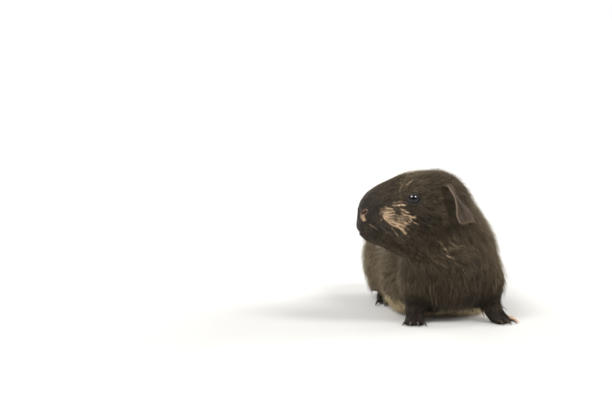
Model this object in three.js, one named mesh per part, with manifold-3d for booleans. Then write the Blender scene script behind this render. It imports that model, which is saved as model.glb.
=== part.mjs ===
// A short-haired guinea pig, life size and still. It sits with its chest raised on straight forelegs
// and its belly resting on the ground, and its head is turned to its own right.
//
// Millimetres, +Z up. The body faces -Y and its left side is +X. The floor is z = 0, and the origin is
// the middle of the bounding box, on the floor. Every surface of flesh is at the tips of the coat.

import * as THREE from "three";
import { mergeVertices } from "three/addons/utils/BufferGeometryUtils.js";
import Module from "manifold-3d";

const wasm = await Module();
wasm.setup();

// ---- Driving dimensions ----

const GAP = 0.3; // between neighbouring solids

const TRUNK_WIDTH = 84;
const BACK_HEIGHT = 83;
const RUMP_END = 98; // how far the rump reaches behind the middle of the trunk
const BELLY_LIFT = 1.4; // of the belly's own rounding, whose fillets reach the ground

const STANCE = { left: 28.5, right: 24.5 }; // from the middle of the body out to each wrist
const WRIST_Y = -54;
const HIND_STANCE = 33; // from the middle of the body out to each ankle
const ANKLE_Y = 34;

const HEAD_PLACE = [-33.5, -60, 84.5]; // a point of the head's middle plane, 34 mm behind the nose
const HEAD_TURN = 83; // degrees, from straight ahead to the animal's right
const EYE_RADIUS = 4.9;
const EYE_SPREAD = 15.8; // from the head's middle plane to an eye's centre
const EAR_DROP = 15.4; // from the eyes down to the ear's lower edge
const EAR_THICKNESS = 1.5;
const EAR_CLEARANCE = 2.2; // between the hanging part of an ear and the coat beside it

// Grid steps that turn the fields into faces.
const STEP = { head: 5, neck: 7.6, body: 12.8, foreleg: 6, hindleg: 10.4, forefoot: 2.8, hindfoot: 3.5 };

const rad = THREE.MathUtils.degToRad;
const point = (x, y, z) => new THREE.Vector3(x, y, z);

// ---- Frames ----

// A frame at `at` whose x axis points along `heading`, in degrees about +Z from +X, and whose z axis is up.
function frameAt(at, heading) {
  return new THREE.Matrix4().makeRotationZ(rad(heading)).setPosition(...at);
}

// The head's frame: +x to the nose, +y to the animal's left, +z up.
const HEAD = frameAt(HEAD_PLACE, -90 - HEAD_TURN);
const onHead = (x, y, z) => point(x, y, z).applyMatrix4(HEAD);

// ---- Fields: functions of a place that are negative inside a shape ----

// An ellipsoid with its radii along the axes of a frame.
function blob(at, radii, frame = new THREE.Matrix4()) {
  const e = new THREE.Matrix4().copy(frame).setPosition(at).invert().elements;
  const [a, b, c] = radii;
  return (x, y, z) => {
    const u = (e[0] * x + e[4] * y + e[8] * z + e[12]) / a;
    const v = (e[1] * x + e[5] * y + e[9] * z + e[13]) / b;
    const w = (e[2] * x + e[6] * y + e[10] * z + e[14]) / c;
    const near = Math.hypot(u, v, w);
    return near < 1e-9 ? -Math.min(a, b, c) : (near * (near - 1)) / Math.hypot(u / a, v / b, w / c);
  };
}

// A limb from a to b, whose radius goes from ra to rb.
function limb(a, b, ra, rb) {
  const d = b.clone().sub(a);
  const length2 = d.lengthSq();
  return (x, y, z) => {
    const px = x - a.x;
    const py = y - a.y;
    const pz = z - a.z;
    const t = THREE.MathUtils.clamp((px * d.x + py * d.y + pz * d.z) / length2, 0, 1);
    return Math.hypot(px - t * d.x, py - t * d.y, pz - t * d.z) - (ra + t * (rb - ra));
  };
}

// Fields joined with a fillet about k wide.
function blend(k, ...fields) {
  return (x, y, z) =>
    fields.reduce((d, field) => {
      const e = field(x, y, z);
      const h = Math.max(k - Math.abs(d - e), 0) / k;
      return Math.min(d, e) - (h * h * k) / 4;
    }, Infinity);
}

// The space inside a box of two corners.
function inBox(low, high) {
  return (x, y, z) =>
    Math.max(low[0] - x, x - high[0], low[1] - y, y - high[1], low[2] - z, z - high[2]);
}

// Which way a field grows at p, and how fast.
function slopeOf(field, p, reach) {
  return point(
    field(p.x + reach, p.y, p.z) - field(p.x - reach, p.y, p.z),
    field(p.x, p.y + reach, p.z) - field(p.x, p.y - reach, p.z),
    field(p.x, p.y, p.z + reach) - field(p.x, p.y, p.z - reach),
  ).divideScalar(2 * reach);
}

// ---- Surfaces and solids ----

// A closed surface as a geometry whose faces point out.
function closedSurface(places, index) {
  const volume = (t) => places[index[t]].dot(places[index[t + 1]].clone().cross(places[index[t + 2]]));
  let total = 0;
  for (let t = 0; t < index.length; t += 3) total += volume(t);
  const positions = new Float32Array(places.flatMap((p) => p.toArray()));
  return new THREE.BufferGeometry()
    .setAttribute("position", new THREE.BufferAttribute(positions, 3))
    .setIndex(total < 0 ? index.toReversed() : index);
}

// A closed geometry as a solid.
function solidOf(geometry) {
  const bare = geometry.clone();
  bare.deleteAttribute("normal");
  bare.deleteAttribute("uv");
  const merged = mergeVertices(bare, 1e-4);
  return new wasm.Manifold(
    new wasm.Mesh({
      numProp: 3,
      vertProperties: merged.attributes.position.array,
      triVerts: new Uint32Array(merged.index.array),
    }),
  );
}

// A solid as a geometry.
function geometryOf(solid) {
  const mesh = solid.getMesh();
  const positions = new Float32Array(mesh.numVert * 3);
  for (let i = 0; i < mesh.numVert; i++) {
    positions.set(mesh.vertProperties.subarray(i * mesh.numProp, i * mesh.numProp + 3), i * 3);
  }
  return new THREE.BufferGeometry()
    .setAttribute("position", new THREE.BufferAttribute(positions, 3))
    .setIndex(new THREE.BufferAttribute(mesh.triVerts, 1));
}

// The solid of a field inside a box, with one vertex for each grid cell that its surface crosses. The
// box closes whatever it cuts off. `grow` moves every vertex out by so much.
function fleshIn(field, low, high, step, grow = 0) {
  const lid = inBox(low, high);
  const closed = (x, y, z) => Math.max(field(x, y, z), lid(x, y, z));
  const start = low.map((v) => v - step * 1.37);
  const count = high.map((v, i) => Math.ceil((v + step * 1.37 - start[i]) / step) + 1);
  const corner = (i, j, k) => i + count[0] * (j + count[1] * k);
  const at = (i, j, k) => [start[0] + i * step, start[1] + j * step, start[2] + k * step];
  const values = new Float64Array(count[0] * count[1] * count[2]);
  for (let k = 0; k < count[2]; k++)
    for (let j = 0; j < count[1]; j++)
      for (let i = 0; i < count[0]; i++) values[corner(i, j, k)] = closed(...at(i, j, k));

  // The middle of the places where the surface cuts a cell's edges.
  function crossingOf(i, j, k) {
    const sum = new THREE.Vector3();
    let cuts = 0;
    for (let axis = 0; axis < 3; axis++)
      for (let side = 0; side < 4; side++) {
        const a = [i, j, k];
        a[(axis + 1) % 3] += side & 1;
        a[(axis + 2) % 3] += side >> 1;
        const b = [...a];
        b[axis] += 1;
        const va = values[corner(...a)];
        const vb = values[corner(...b)];
        if (va < 0 === vb < 0) continue;
        sum.add(point(...at(...a)).lerp(point(...at(...b)), va / (va - vb)));
        cuts++;
      }
    return cuts ? sum.divideScalar(cuts) : null;
  }

  // The crossing pulled onto the surface, and grown.
  function settled(p) {
    const reach = step * 0.02;
    for (let turn = 0; turn < 3; turn++) {
      const slope = slopeOf(closed, p, reach);
      const off = closed(p.x, p.y, p.z) / Math.max(slope.lengthSq(), 0.05);
      p.addScaledVector(slope, -THREE.MathUtils.clamp(off, -step / 4, step / 4));
    }
    return p.addScaledVector(slopeOf(closed, p, reach).normalize(), grow);
  }

  const places = [];
  const cellVertex = new Map();
  for (let k = 0; k < count[2] - 1; k++)
    for (let j = 0; j < count[1] - 1; j++)
      for (let i = 0; i < count[0] - 1; i++) {
        const crossing = crossingOf(i, j, k);
        if (!crossing) continue;
        cellVertex.set(corner(i, j, k), places.length);
        places.push(settled(crossing));
      }

  const index = [];
  for (let k = 1; k < count[2] - 1; k++)
    for (let j = 1; j < count[1] - 1; j++)
      for (let i = 1; i < count[0] - 1; i++)
        for (let axis = 0; axis < 3; axis++) {
          const b = [i, j, k];
          b[axis] += 1;
          const inside = values[corner(i, j, k)] < 0;
          if (inside === values[corner(...b)] < 0) continue;
          const u = [0, 0, 0];
          const v = [0, 0, 0];
          u[(axis + 1) % 3] = 1;
          v[(axis + 2) % 3] = 1;
          const quad = [
            [0, 0],
            [1, 0],
            [1, 1],
            [0, 1],
          ].map(([p, q]) => {
            const cell = [i, j, k].map((n, way) => n - p * u[way] - q * v[way]);
            return cellVertex.get(corner(...cell));
          });
          if (!inside) quad.reverse();
          // The shorter diagonal makes the rounder pair of triangles.
          const [q0, q1, q2, q3] = quad;
          if (places[q0].distanceTo(places[q2]) < places[q1].distanceTo(places[q3]))
            index.push(q0, q1, q2, q0, q2, q3);
          else index.push(q0, q1, q3, q1, q2, q3);
        }
  return solidOf(closedSurface(places, index));
}

// A solid through rings of equally many points, an even number. Its ends are closed across.
function loft(rings) {
  const around = rings[0].length;
  const last = rings.length - 1;
  const at = (i, j) => i * around + (j % around);
  const index = [];
  for (let i = 0; i < last; i++)
    for (let j = 0; j < around; j++) {
      index.push(at(i, j), at(i, j + 1), at(i + 1, j + 1));
      index.push(at(i, j), at(i + 1, j + 1), at(i + 1, j));
    }
  for (let j = 0; j < around / 2 - 1; j++) {
    const across = around - 1 - j;
    index.push(at(0, j + 1), at(0, j), at(0, across), at(0, j + 1), at(0, across), at(0, across - 1));
    index.push(at(last, across), at(last, j), at(last, j + 1));
    index.push(at(last, across - 1), at(last, across), at(last, j + 1));
  }
  return solidOf(closedSurface(rings.flat(), index));
}

// ---- Regions: the space that one part may fill, and the same grown by the gap for its neighbours ----

function regionOf(geometryGrownBy) {
  const own = geometryGrownBy(0);
  own.computeBoundingBox();
  return { own: solidOf(own), grown: solidOf(geometryGrownBy(GAP)), bounds: own.boundingBox };
}

function boxRegion(low, high, matrix = new THREE.Matrix4()) {
  return regionOf((grow) => {
    const size = high.map((v, i) => v - low[i]);
    const middle = low.map((v, i) => v + size[i] / 2);
    const box = new THREE.BoxGeometry(...size.map((v) => v + 2 * grow));
    return box.translate(...middle).applyMatrix4(matrix);
  });
}

function eggRegion(radii, matrix) {
  return regionOf((grow) =>
    new THREE.SphereGeometry(1, 14, 8).scale(...radii.map((r) => r + grow)).applyMatrix4(matrix),
  );
}

function capsuleRegion(a, b, radius) {
  const along = b.clone().sub(a);
  const turn = new THREE.Quaternion().setFromUnitVectors(point(0, 1, 0), along.clone().normalize());
  const middle = a.clone().add(b).divideScalar(2);
  return regionOf((grow) =>
    new THREE.CapsuleGeometry(radius + grow, along.length(), 3, 12)
      .applyQuaternion(turn)
      .translate(...middle.toArray()),
  );
}

// ---- Trunk, neck and head ----

const SIDES = { left: 1, right: -1 };
const mirrored = Object.values(SIDES);

function trunkField() {
  const half = TRUNK_WIDTH / 2;
  return blend(
    14,
    blob(point(0, RUMP_END - 45, 39), [half, 45, 38]), // rump
    blob(point(0, 22, BACK_HEIGHT - 39), [half - 9, 44, 38]), // loin
    blob(point(0, 4, 36), [half - 3, 48, 34]), // barrel
    blob(point(0, -14, 18 + BELLY_LIFT), [28, 37, 18]), // belly
    ...mirrored.map((s) => blob(point(s * 22, -10, 17), [16.5, 34, 16])), // lower flanks
    ...mirrored.map((s) => blob(point(s * 20, 50, 21), [20, 36, 17.5])), // haunches
    limb(point(-2, -30, 57), point(0, 14, 51), 22, 29), // withers
    blob(point(0, -34, 46), [27, 33, 32]), // shoulders
    blob(point(0, -51, 36), [26, 20, 26]), // chest
  );
}

function neckField() {
  return blend(
    12,
    limb(point(-0.5, -37, 58), onHead(-26, -4, -7), 21.5, 22.8), // nape
    limb(onHead(-6, 2, -22), point(8, -56, 49), 19, 20.5), // ruff over the chest
  );
}

function headField() {
  return blend(
    6,
    blob(onHead(-10.5, 0, -1), [29, 19.5, 18.7], HEAD), // cranium
    blob(onHead(12, 0, -4.8), [16.5, 12, 14.8], HEAD), // bridge of the nose
    blob(onHead(18, 0, -10), [13, 11, 12.5], HEAD), // nose
    blob(onHead(13, 0, -19), [18.5, 11.5, 12.2], HEAD), // lips and chin
    ...mirrored.map((s) => blob(onHead(17, s * 6, -15), [9.5, 7, 8], HEAD)), // whisker pads
    ...mirrored.map((s) => blob(onHead(-9, s * 8.5, -17), [22, 14, 17], HEAD)), // cheeks
  );
}

// ---- Legs ----

const stanceOf = (s) => (s > 0 ? STANCE.left : STANCE.right);
const shoulderOf = (s) => point(s * 16, -44, 48);
const elbowOf = (s) => point(s * (stanceOf(s) - 0.4), -49, 28);
const wristOf = (s) => point(s * stanceOf(s), WRIST_Y, 8);

function forelegField(s) {
  return blend(8, limb(shoulderOf(s), elbowOf(s), 13, 8.2), limb(elbowOf(s), wristOf(s), 8, 5.6));
}

// A hind leg is folded under the flank.
const thighOf = (s) => point(s * 30, ANKLE_Y + 14, 29);

function hindlegField(s) {
  const knee = point(s * (HIND_STANCE + 2), ANKLE_Y - 6, 20);
  return blend(10, blob(thighOf(s), [13, 26, 24]), limb(point(s * 27, ANKLE_Y + 18, 32), knee, 14, 9));
}

// ---- Feet, toes and claws ----

// `across` and `along` are the place of the wrist or the ankle. `reach` is how far each toe goes beyond
// its root, from the inner to the outer toe, and `behind` is how far the foot goes behind the wrist or
// the ankle.
const FOOT = {
  fore: {
    across: stanceOf,
    along: WRIST_Y,
    behind: 9,
    half: 11.6,
    root: 5,
    reach: [6.6, 8.6, 8.4, 6.2],
    spacing: 2.6,
    fan: 12,
    claw: 6.4,
  },
  hind: {
    across: () => HIND_STANCE,
    along: ANKLE_Y,
    behind: 37,
    half: 14,
    root: 5.5,
    reach: [9, 11, 9],
    spacing: 3.4,
    fan: 10,
    claw: 7.6,
  },
};
const FOOT_YAW = { forefoot_left: 35, forefoot_right: 10, hindfoot_left: 8, hindfoot_right: 8 };
const FOOT_HEIGHT = 9.7; // where a foot meets its leg
const TOE_RADIUS = [2.35, 1.95]; // at its root and its tip
const CLAW_RADIUS = 1.05;

// A foot's frame has +x along the toes, +y outwards and z = 0 on the floor under the wrist or ankle.
function footOf(pair, sideName) {
  const s = SIDES[sideName];
  const shape = FOOT[pair];
  const yaw = FOOT_YAW[`${pair}foot_${sideName}`];
  const frame = frameAt([s * shape.across(s), shape.along, 0], -90 + s * yaw);
  const on = (x, y, z) => point(x, s * y, z).applyMatrix4(frame);
  const toes = shape.reach.map((reach, i) => {
    const place = i - (shape.reach.length - 1) / 2;
    const turn = rad(place * shape.fan);
    const out = (far, z) =>
      on(shape.root + far * Math.cos(turn), place * shape.spacing + far * Math.sin(turn), z);
    return { out, reach };
  });
  return { pair, sideName, frame, on, toes, claw: shape.claw };
}

function footField({ pair, frame, on, toes }) {
  const palm = {
    fore: [limb(on(0, 0, 7), on(3.5, 0, 4.6), 4, 4), blob(on(5, 0, 3.4), [5, 5.6, 3.8], frame)],
    hind: [limb(on(-30, 0, 5), on(0, 0, 4.4), 5.2, 4.6), blob(on(3, 0, 3.4), [5.5, 6, 3.8], frame)],
  };
  const digits = toes.map(({ out, reach }) => limb(out(0, 3.7), out(reach, 1.7), ...TOE_RADIUS));
  return blend(2, blend(4, ...palm[pair]), ...digits);
}

// A claw: a tapered horn on a curve from inside the toe's tip down to just above the floor.
function clawSolid({ out, reach }, length, grow = 0) {
  const rings = 4;
  const around = 6;
  const path = new THREE.QuadraticBezierCurve3(
    out(reach - 1 - grow, 2.3),
    out(reach + length * 0.6, 3.2),
    out(reach + length + grow, 0.75),
  );
  const frames = path.computeFrenetFrames(rings - 1);
  return loft(
    Array.from({ length: rings }, (_, i) => {
      const t = i / (rings - 1);
      const radius = THREE.MathUtils.lerp(CLAW_RADIUS, 0.25, t ** 1.4) + grow;
      return Array.from({ length: around }, (_, j) => {
        const turn = (2 * Math.PI * (j + 0.5)) / around;
        return path
          .getPoint(t)
          .addScaledVector(frames.normals[i], radius * Math.cos(turn))
          .addScaledVector(frames.binormals[i], radius * Math.sin(turn));
      });
    }),
  );
}

// ---- Ears ----

// A drooping leaf between a front and a rear edge. It starts inside the head and hangs clear of the coat.
function earSolid(s, coat) {
  const edge = (points) => new THREE.CatmullRomCurve3(points.map(([x, y, z]) => onHead(x, s * y, z)));
  const front = edge([
    [-22, 8, 6],
    [-23.3, 18.5, 9],
    [-26.3, 22.5, 0.16 * EAR_DROP],
    [-28.2, 26.5, -0.38 * EAR_DROP],
    [-29.5, 28.5, -0.9 * EAR_DROP],
  ]);
  const rear = edge([
    [-28, 7, 6.5],
    [-29, 15.5, 9.3],
    [-31, 19.5, 0.16 * EAR_DROP],
    [-37.5, 23, -0.34 * EAR_DROP],
    [-41.3, 25, -0.94 * EAR_DROP],
  ]);
  const outwards = onHead(0, s, 0).sub(onHead(0, 0, 0));
  const rows = 9;
  const columns = 7;

  function place(i, j) {
    const a = i / (rows - 1);
    const b = j / (columns - 1);
    const cup = Math.sin(Math.PI * b) * (0.8 + 2.4 * Math.sin(Math.PI * a));
    const hem = a ** 6 * (1.1 * Math.sin(Math.PI * b) + 0.9 * Math.sin(2 * Math.PI * b));
    const p = front.getPoint(a).lerp(rear.getPoint(a), b).addScaledVector(outwards, cup);
    p.z -= hem;
    const hanging = THREE.MathUtils.smoothstep(a, 0.3, 0.6);
    const short = EAR_CLEARANCE - coat(p.x, p.y, p.z);
    return p.addScaledVector(slopeOf(coat, p, 0.5).normalize(), Math.max(short, 0) * hanging);
  }

  function face(i, j, side) {
    const along = place(Math.min(i + 0.5, rows - 1), j).sub(place(Math.max(i - 0.5, 0), j));
    const across = place(i, Math.min(j + 0.5, columns - 1)).sub(place(i, Math.max(j - 0.5, 0)));
    const rim = j === 0 || j === columns - 1 || i === rows - 1 ? 0.6 : 1;
    return place(i, j).addScaledVector(across.cross(along).normalize(), (side * rim * EAR_THICKNESS) / 2);
  }

  const columnOf = [...Array(columns).keys()];
  return loft(
    Array.from({ length: rows }, (_, i) => [
      ...columnOf.map((j) => face(i, j, 1)),
      ...columnOf.toReversed().map((j) => face(i, j, -1)),
    ]),
  );
}

// ---- The parts ----

const FINISH = {
  coat: { color: 0x3f372d, roughness: 0.75 },
  ear: { color: 0x5b4d43, roughness: 0.6 },
  foot: { color: 0x2c2520, roughness: 0.7 },
  eye: { color: 0x0c0a0a, roughness: 0.05 },
  claw: { color: 0xb08a6c, roughness: 0.4 },
};

const animal = new THREE.Group();

function add(name, solid, finish) {
  const material = new THREE.MeshStandardMaterial({ ...FINISH[finish], metalness: 0 });
  const mesh = new THREE.Mesh(geometryOf(solid), material);
  mesh.name = name;
  animal.add(mesh);
}

const forefeet = Object.keys(SIDES).map((sideName) => footOf("fore", sideName));
const hindfeet = Object.keys(SIDES).map((sideName) => footOf("hind", sideName));
const legs = mirrored.flatMap((s) => [forelegField(s), hindlegField(s)]);
const torso = blend(8, blend(10, trunkField(), neckField(), headField()), ...legs);
const body = blend(4, torso, ...forefeet.map(footField)); // all but the hind feet

// The corners of a space that holds the whole animal.
const SPACE = [
  [-90, -110, -10],
  [90, 120, 120],
];

// The solid of a field in a region, less the places of the parts that come before it.
function partIn(field, region, step, taken, grow = 0) {
  const low = region.bounds.min.toArray().map((v, i) => Math.max(v - 2 * step, SPACE[0][i]));
  const high = region.bounds.max.toArray().map((v, i) => Math.min(v + 2 * step, SPACE[1][i]));
  const whole = fleshIn(field, low, high, step, grow);
  return taken.reduce((solid, other) => solid.subtract(other), whole.intersect(region.own));
}

const floor = boxRegion([-200, -200, -50], [200, 200, 0]).own;

// A foot and its claws. Returns the space that the foot takes out of the body.
function addFoot(foot) {
  const { pair, sideName, frame, toes, claw } = foot;
  const { behind, half } = FOOT[pair];
  const region = boxRegion([-behind, -half, -3], [24, half, FOOT_HEIGHT], frame);
  const field = pair === "fore" ? body : footField(foot);
  const step = STEP[`${pair}foot`];
  const clawSockets = toes.map((toe) => clawSolid(toe, claw, GAP));
  add(`${pair}foot_${sideName}`, partIn(field, region, step, [floor, ...clawSockets]), "foot");
  toes.forEach((toe, i) => add(`${pair}claw_${sideName}_${i + 1}`, clawSolid(toe, claw), "claw"));
  return pair === "fore" ? region.grown : partIn(field, region, step, [], GAP);
}

const feetSpace = [...forefeet, ...hindfeet].map(addFoot);

// The head, with its eyes and ears.
const placed = (at, frame = new THREE.Matrix4()) => frame.clone().setPosition(at);
const headRegion = eggRegion([42, 34, 36], placed(onHead(0, 0, -4), HEAD));
const eyeRegions = mirrored.map((s) =>
  eggRegion([EYE_RADIUS, EYE_RADIUS, EYE_RADIUS], placed(onHead(-2, s * EYE_SPREAD, 1))),
);
const eyeSockets = eyeRegions.map((eye) => eye.grown);
add("head", partIn(torso, headRegion, STEP.head, eyeSockets), "coat");
const headGrown = partIn(torso, { ...headRegion, own: headRegion.grown }, STEP.head, [], GAP);

// The neck is what lies over a plane that drops towards the chest.
const neckTilt = new THREE.Matrix4().makeRotationX(rad(36)).setPosition(0, -52, 62);
const neckRegion = boxRegion([-200, -200, 0], [200, 200, 200], neckTilt);
const taken = [floor, headRegion.grown];
add("neck", partIn(torso, neckRegion, STEP.neck, taken), "coat");
const neckGrown = partIn(torso, neckRegion, STEP.neck, [], GAP);
taken.push(neckRegion.grown);

Object.keys(SIDES).forEach((sideName, i) => {
  const ear = earSolid(mirrored[i], torso).subtract(headGrown).subtract(neckGrown);
  add(`ear_${sideName}`, ear, "ear");
  add(`eye_${sideName}`, eyeRegions[i].own, "eye");
});

// The legs.
const legParts = [];
for (const [sideName, s] of Object.entries(SIDES)) {
  const upper = capsuleRegion(point(s * 26, -44, 46), wristOf(s), 14);
  const thigh = eggRegion([17, 31, 27], placed(thighOf(s).add(point(s * 6, 2, 0))));
  legParts.push([`foreleg_${sideName}`, upper, STEP.foreleg], [`hindleg_${sideName}`, thigh, STEP.hindleg]);
}
taken.push(...feetSpace);
for (const [name, region, step] of legParts) add(name, partIn(body, region, step, taken), "coat");
taken.push(...legParts.map(([, region]) => region.grown));

// What is left of the body, from front to back.
const lengths = { chest: [-200, -22], trunk: [-22 + GAP, 38], rump: [38 + GAP, 200] };
for (const [name, [front, back]] of Object.entries(lengths)) {
  const region = boxRegion([-200, front, -10], [200, back, 200]);
  add(name, partIn(torso, region, STEP.body, taken), "coat");
}

// The origin goes to the middle of the bounding box, on the floor.
const middle = new THREE.Box3().setFromObject(animal).getCenter(new THREE.Vector3());
animal.position.set(-middle.x, -middle.y, 0);

export default animal;
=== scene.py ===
"""Life-size still model of a short-haired guinea pig: skin, coat, ears, eyes, claws and whiskers.

Shapes are worked out in millimetres and become metres when a mesh is made.
Places on the head are (forward, left, up) from a point between the eyes.
"""

import math

import bmesh
import bpy
import numpy as np
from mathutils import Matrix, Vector
from mathutils.bvhtree import BVHTree
from mathutils.kdtree import KDTree


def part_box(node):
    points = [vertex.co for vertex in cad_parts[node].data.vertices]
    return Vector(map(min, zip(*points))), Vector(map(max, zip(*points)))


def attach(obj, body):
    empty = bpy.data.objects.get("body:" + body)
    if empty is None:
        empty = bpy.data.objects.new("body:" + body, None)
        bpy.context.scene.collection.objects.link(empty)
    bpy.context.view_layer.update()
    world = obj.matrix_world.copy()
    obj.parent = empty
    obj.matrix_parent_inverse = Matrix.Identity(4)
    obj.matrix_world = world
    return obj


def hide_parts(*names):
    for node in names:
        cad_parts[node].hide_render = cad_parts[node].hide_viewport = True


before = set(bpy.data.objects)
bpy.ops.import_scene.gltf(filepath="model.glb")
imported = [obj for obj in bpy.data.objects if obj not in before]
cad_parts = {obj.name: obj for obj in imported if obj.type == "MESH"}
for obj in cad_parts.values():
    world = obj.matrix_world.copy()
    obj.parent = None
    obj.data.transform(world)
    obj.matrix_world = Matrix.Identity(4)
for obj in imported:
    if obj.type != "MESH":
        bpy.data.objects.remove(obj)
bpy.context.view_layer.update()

MM = 0.001
SIDES = {"left": 1, "right": -1}
FLESH = ["head", "neck", "chest", "trunk", "rump"]
FLESH += [f"{part}_{side}" for part in ("foreleg", "hindleg", "forefoot", "hindfoot") for side in SIDES]

# ---------------------------------------------------------------- sizes, in millimetres

SKIN_GRAIN = 1.08            # spacing of the skin's points before the face is refined
OVERLAP = 0.3                # how far neighbouring solids are grown into each other
EYE_PLACE = (-2, 15.8, 1)    # middle of the left eye on the head
EYE_BARE = (4.0, 4.9)        # round the middle of the eye: all bare, and where hair grows again
NOSTRIL = (29.0, 6.0, -8.2)
FOOT_TOP = 8.5
SHIN_TOP = 13
COAT_BODY = 3.6              # depth of the coat over the skin
COAT_CROWN = 2.2
COAT_CHEEK = 1.3
COAT_MUZZLE = 0.5
COAT_FOOT = 0.3
COAT_LEG = 1.7
TOE_GAP = 0.85               # half the width of the gap between two toes
TOE_GAP_DEPTH = 2.2
PATCH = 0.003                # side of a tuft's own patch on the OFBake map
FLOOR_GAP = 0.15             # the lowest that a hair comes


# ---------------------------------------------------------------- numbers

def unit(vectors):
    vectors = np.asarray(vectors, float)
    return vectors / np.maximum(np.linalg.norm(vectors, axis=-1, keepdims=True), 1e-12)


def smoothstep(low, high, value):
    t = np.clip((value - low) / (high - low), 0, 1)
    return t * t * (3 - 2 * t)


def bell(distance, reach):
    return np.exp(-((distance / reach) ** 2))


def mix(a, b, share):
    return a + (b - a) * share


def ripple(points, size, seed, waves=9):
    """Smooth noise from about -1 to 1 whose lumps are `size` across."""
    draw = np.random.default_rng(seed)
    total = np.zeros(len(points))
    for _ in range(waves):
        direction = unit(draw.normal(size=3)) * draw.uniform(0.6, 1.5)
        total += np.sin(points @ direction * (math.pi / size) + draw.uniform(0, 2 * math.pi))
    return total / math.sqrt(waves)


def smooth_line(stops, count):
    """`count` points on a smooth curve through the stops."""
    stops = np.asarray(stops, float)
    ends = np.concatenate((2 * stops[:1] - stops[1:2], stops, 2 * stops[-1:] - stops[-2:-1]))
    made = []
    for t in np.linspace(0, len(stops) - 1, count):
        k = min(int(t), len(stops) - 2)
        s = t - k
        a, b, c, d = ends[k:k + 4]
        made.append(b + 0.5 * s * (c - a + s * (2 * a - 5 * b + 4 * c - d + s * (3 * (b - c) + d - a))))
    return np.array(made)


def middle(node):
    low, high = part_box(node)
    return np.array((low + high) / 2) / MM


def corner(node, high):
    return np.array(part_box(node)[1 if high else 0]) / MM


class Head:
    """The head's own axes, from the places of the two eyes."""

    def __init__(self):
        eye_left, eye_right = middle("eye_left"), middle("eye_right")
        self.left = unit(eye_left - eye_right)
        self.up = np.array((0.0, 0.0, 1.0))
        self.forward = np.cross(self.left, self.up)
        self.axes = np.array((self.forward, self.left, self.up))
        self.origin = (eye_left + eye_right) / 2 - self.turn((EYE_PLACE[0], 0, EYE_PLACE[2]))

    def turn(self, direction):
        return np.asarray(direction, float) @ self.axes

    def place(self, spot, side=1):
        """A spot on the head, or its mirror image where side is -1."""
        return self.origin + self.turn(np.asarray(spot, float) * (1, side, 1))

    def locate(self, points):
        return (points - self.origin) @ self.axes.T


HEAD = Head()
BODY_X = (middle("hindfoot_left")[0] + middle("hindfoot_right")[0]) / 2


# ---------------------------------------------------------------- camera, floor and lights

AZIMUTH = -10.0              # degrees round from the animal's front
ELEVATION = 7.6
DISTANCE = 1200.0
IMAGE_WIDTH = 612
FOCAL = 1800.0               # focal length in pixels
AIM_RIGHT = 149.0            # how far the chest stands right of the picture's middle, in pixels
AIM_BELOW = 45.0
AIM_FROM_HEAD = (33.5, -2.0, -34.5)
SENSOR = 36.0
FLOOR_HALF = 30.0            # in metres
DIM_HIGH = 0.7               # how high the tent's dim part sits, against how far in front

# Far lamps: the way to each across, above and towards the camera, its width in degrees, its strength
# and whether shiny things show it.
LAMPS = (
    ("key_left", (-0.36, 0.68, 0.62), 26, 2.7, True),
    ("key_right", (0.60, 0.66, 0.46), 23, 2.4, True),
    ("side_right", (0.85, 0.30, -0.52), 34, 5.5, False),
    ("rim_left", (-0.70, 0.45, -0.75), 34, 1.8, True),
    ("fill", (-0.12, -0.02, 0.99), 60, 2.0, False),
)


def portrait_camera():
    """A long lens a little above the animal, which stands right of the picture's middle."""
    aim = HEAD.origin + AIM_FROM_HEAD
    turn, rise = math.radians(AZIMUTH), math.radians(ELEVATION)
    back = np.array((math.sin(turn) * math.cos(rise), -math.cos(turn) * math.cos(rise), math.sin(rise)))
    pan = turn + math.atan(AIM_RIGHT / FOCAL)
    tilt = -rise + math.atan(AIM_BELOW / FOCAL)
    lens = bpy.data.cameras.new("portrait")
    lens.sensor_width = SENSOR
    lens.lens = SENSOR * FOCAL / IMAGE_WIDTH
    lens.clip_start, lens.clip_end = 0.01, 100
    camera = bpy.data.objects.new("portrait", lens)
    camera.location = (aim + back * DISTANCE) * MM
    camera.rotation_euler = (math.pi / 2 + tilt, 0, pan)
    bpy.context.scene.collection.objects.link(camera)
    bpy.context.scene.camera = camera
    right = np.array((math.cos(turn), math.sin(turn), 0))
    return np.array((right, np.cross(back, right), back))


def lamp(name, towards, width, strength, shines):
    light = bpy.data.lights.new(name, "SUN")
    light.angle, light.energy = math.radians(width), strength
    thing = bpy.data.objects.new(name, light)
    thing.visible_glossy = shines
    thing.rotation_euler = Vector(-towards).to_track_quat("-Z", "Y").to_euler()
    bpy.context.scene.collection.objects.link(thing)


def tent(front):
    """A white tent behind and below, dim in front and above, so that the wet eye shows something dark."""
    world = bpy.data.worlds.new("tent")
    world.use_nodes = True
    nodes, links = world.node_tree.nodes, world.node_tree.links
    facing = nodes.new("ShaderNodeVectorMath")
    facing.operation = "DOT_PRODUCT"
    facing.inputs[1].default_value = front
    links.new(nodes.new("ShaderNodeTexCoord").outputs["Generated"], facing.inputs[0])
    dim = nodes.new("ShaderNodeMapRange")
    dim.interpolation_type = "SMOOTHSTEP"
    for key, value in (("From Min", -0.05), ("From Max", 0.55), ("To Min", 1.0), ("To Max", 0.12)):
        dim.inputs[key].default_value = value
    links.new(facing.outputs["Value"], dim.inputs["Value"])
    links.new(dim.outputs["Result"], nodes["Background"].inputs["Strength"])
    nodes["Background"].inputs["Color"].default_value = (1, 1, 1, 1)
    bpy.context.scene.world = world
    bpy.context.scene.view_settings.view_transform = "Standard"


def studio():
    view = portrait_camera()
    for name, way, width, strength, shines in LAMPS:
        lamp(name, unit(way) @ view, width, strength, shines)
    tent(unit(unit(view[2] * (1, 1, 0)) + (0, 0, DIM_HIGH)))


# ---------------------------------------------------------------- node trees

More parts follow.
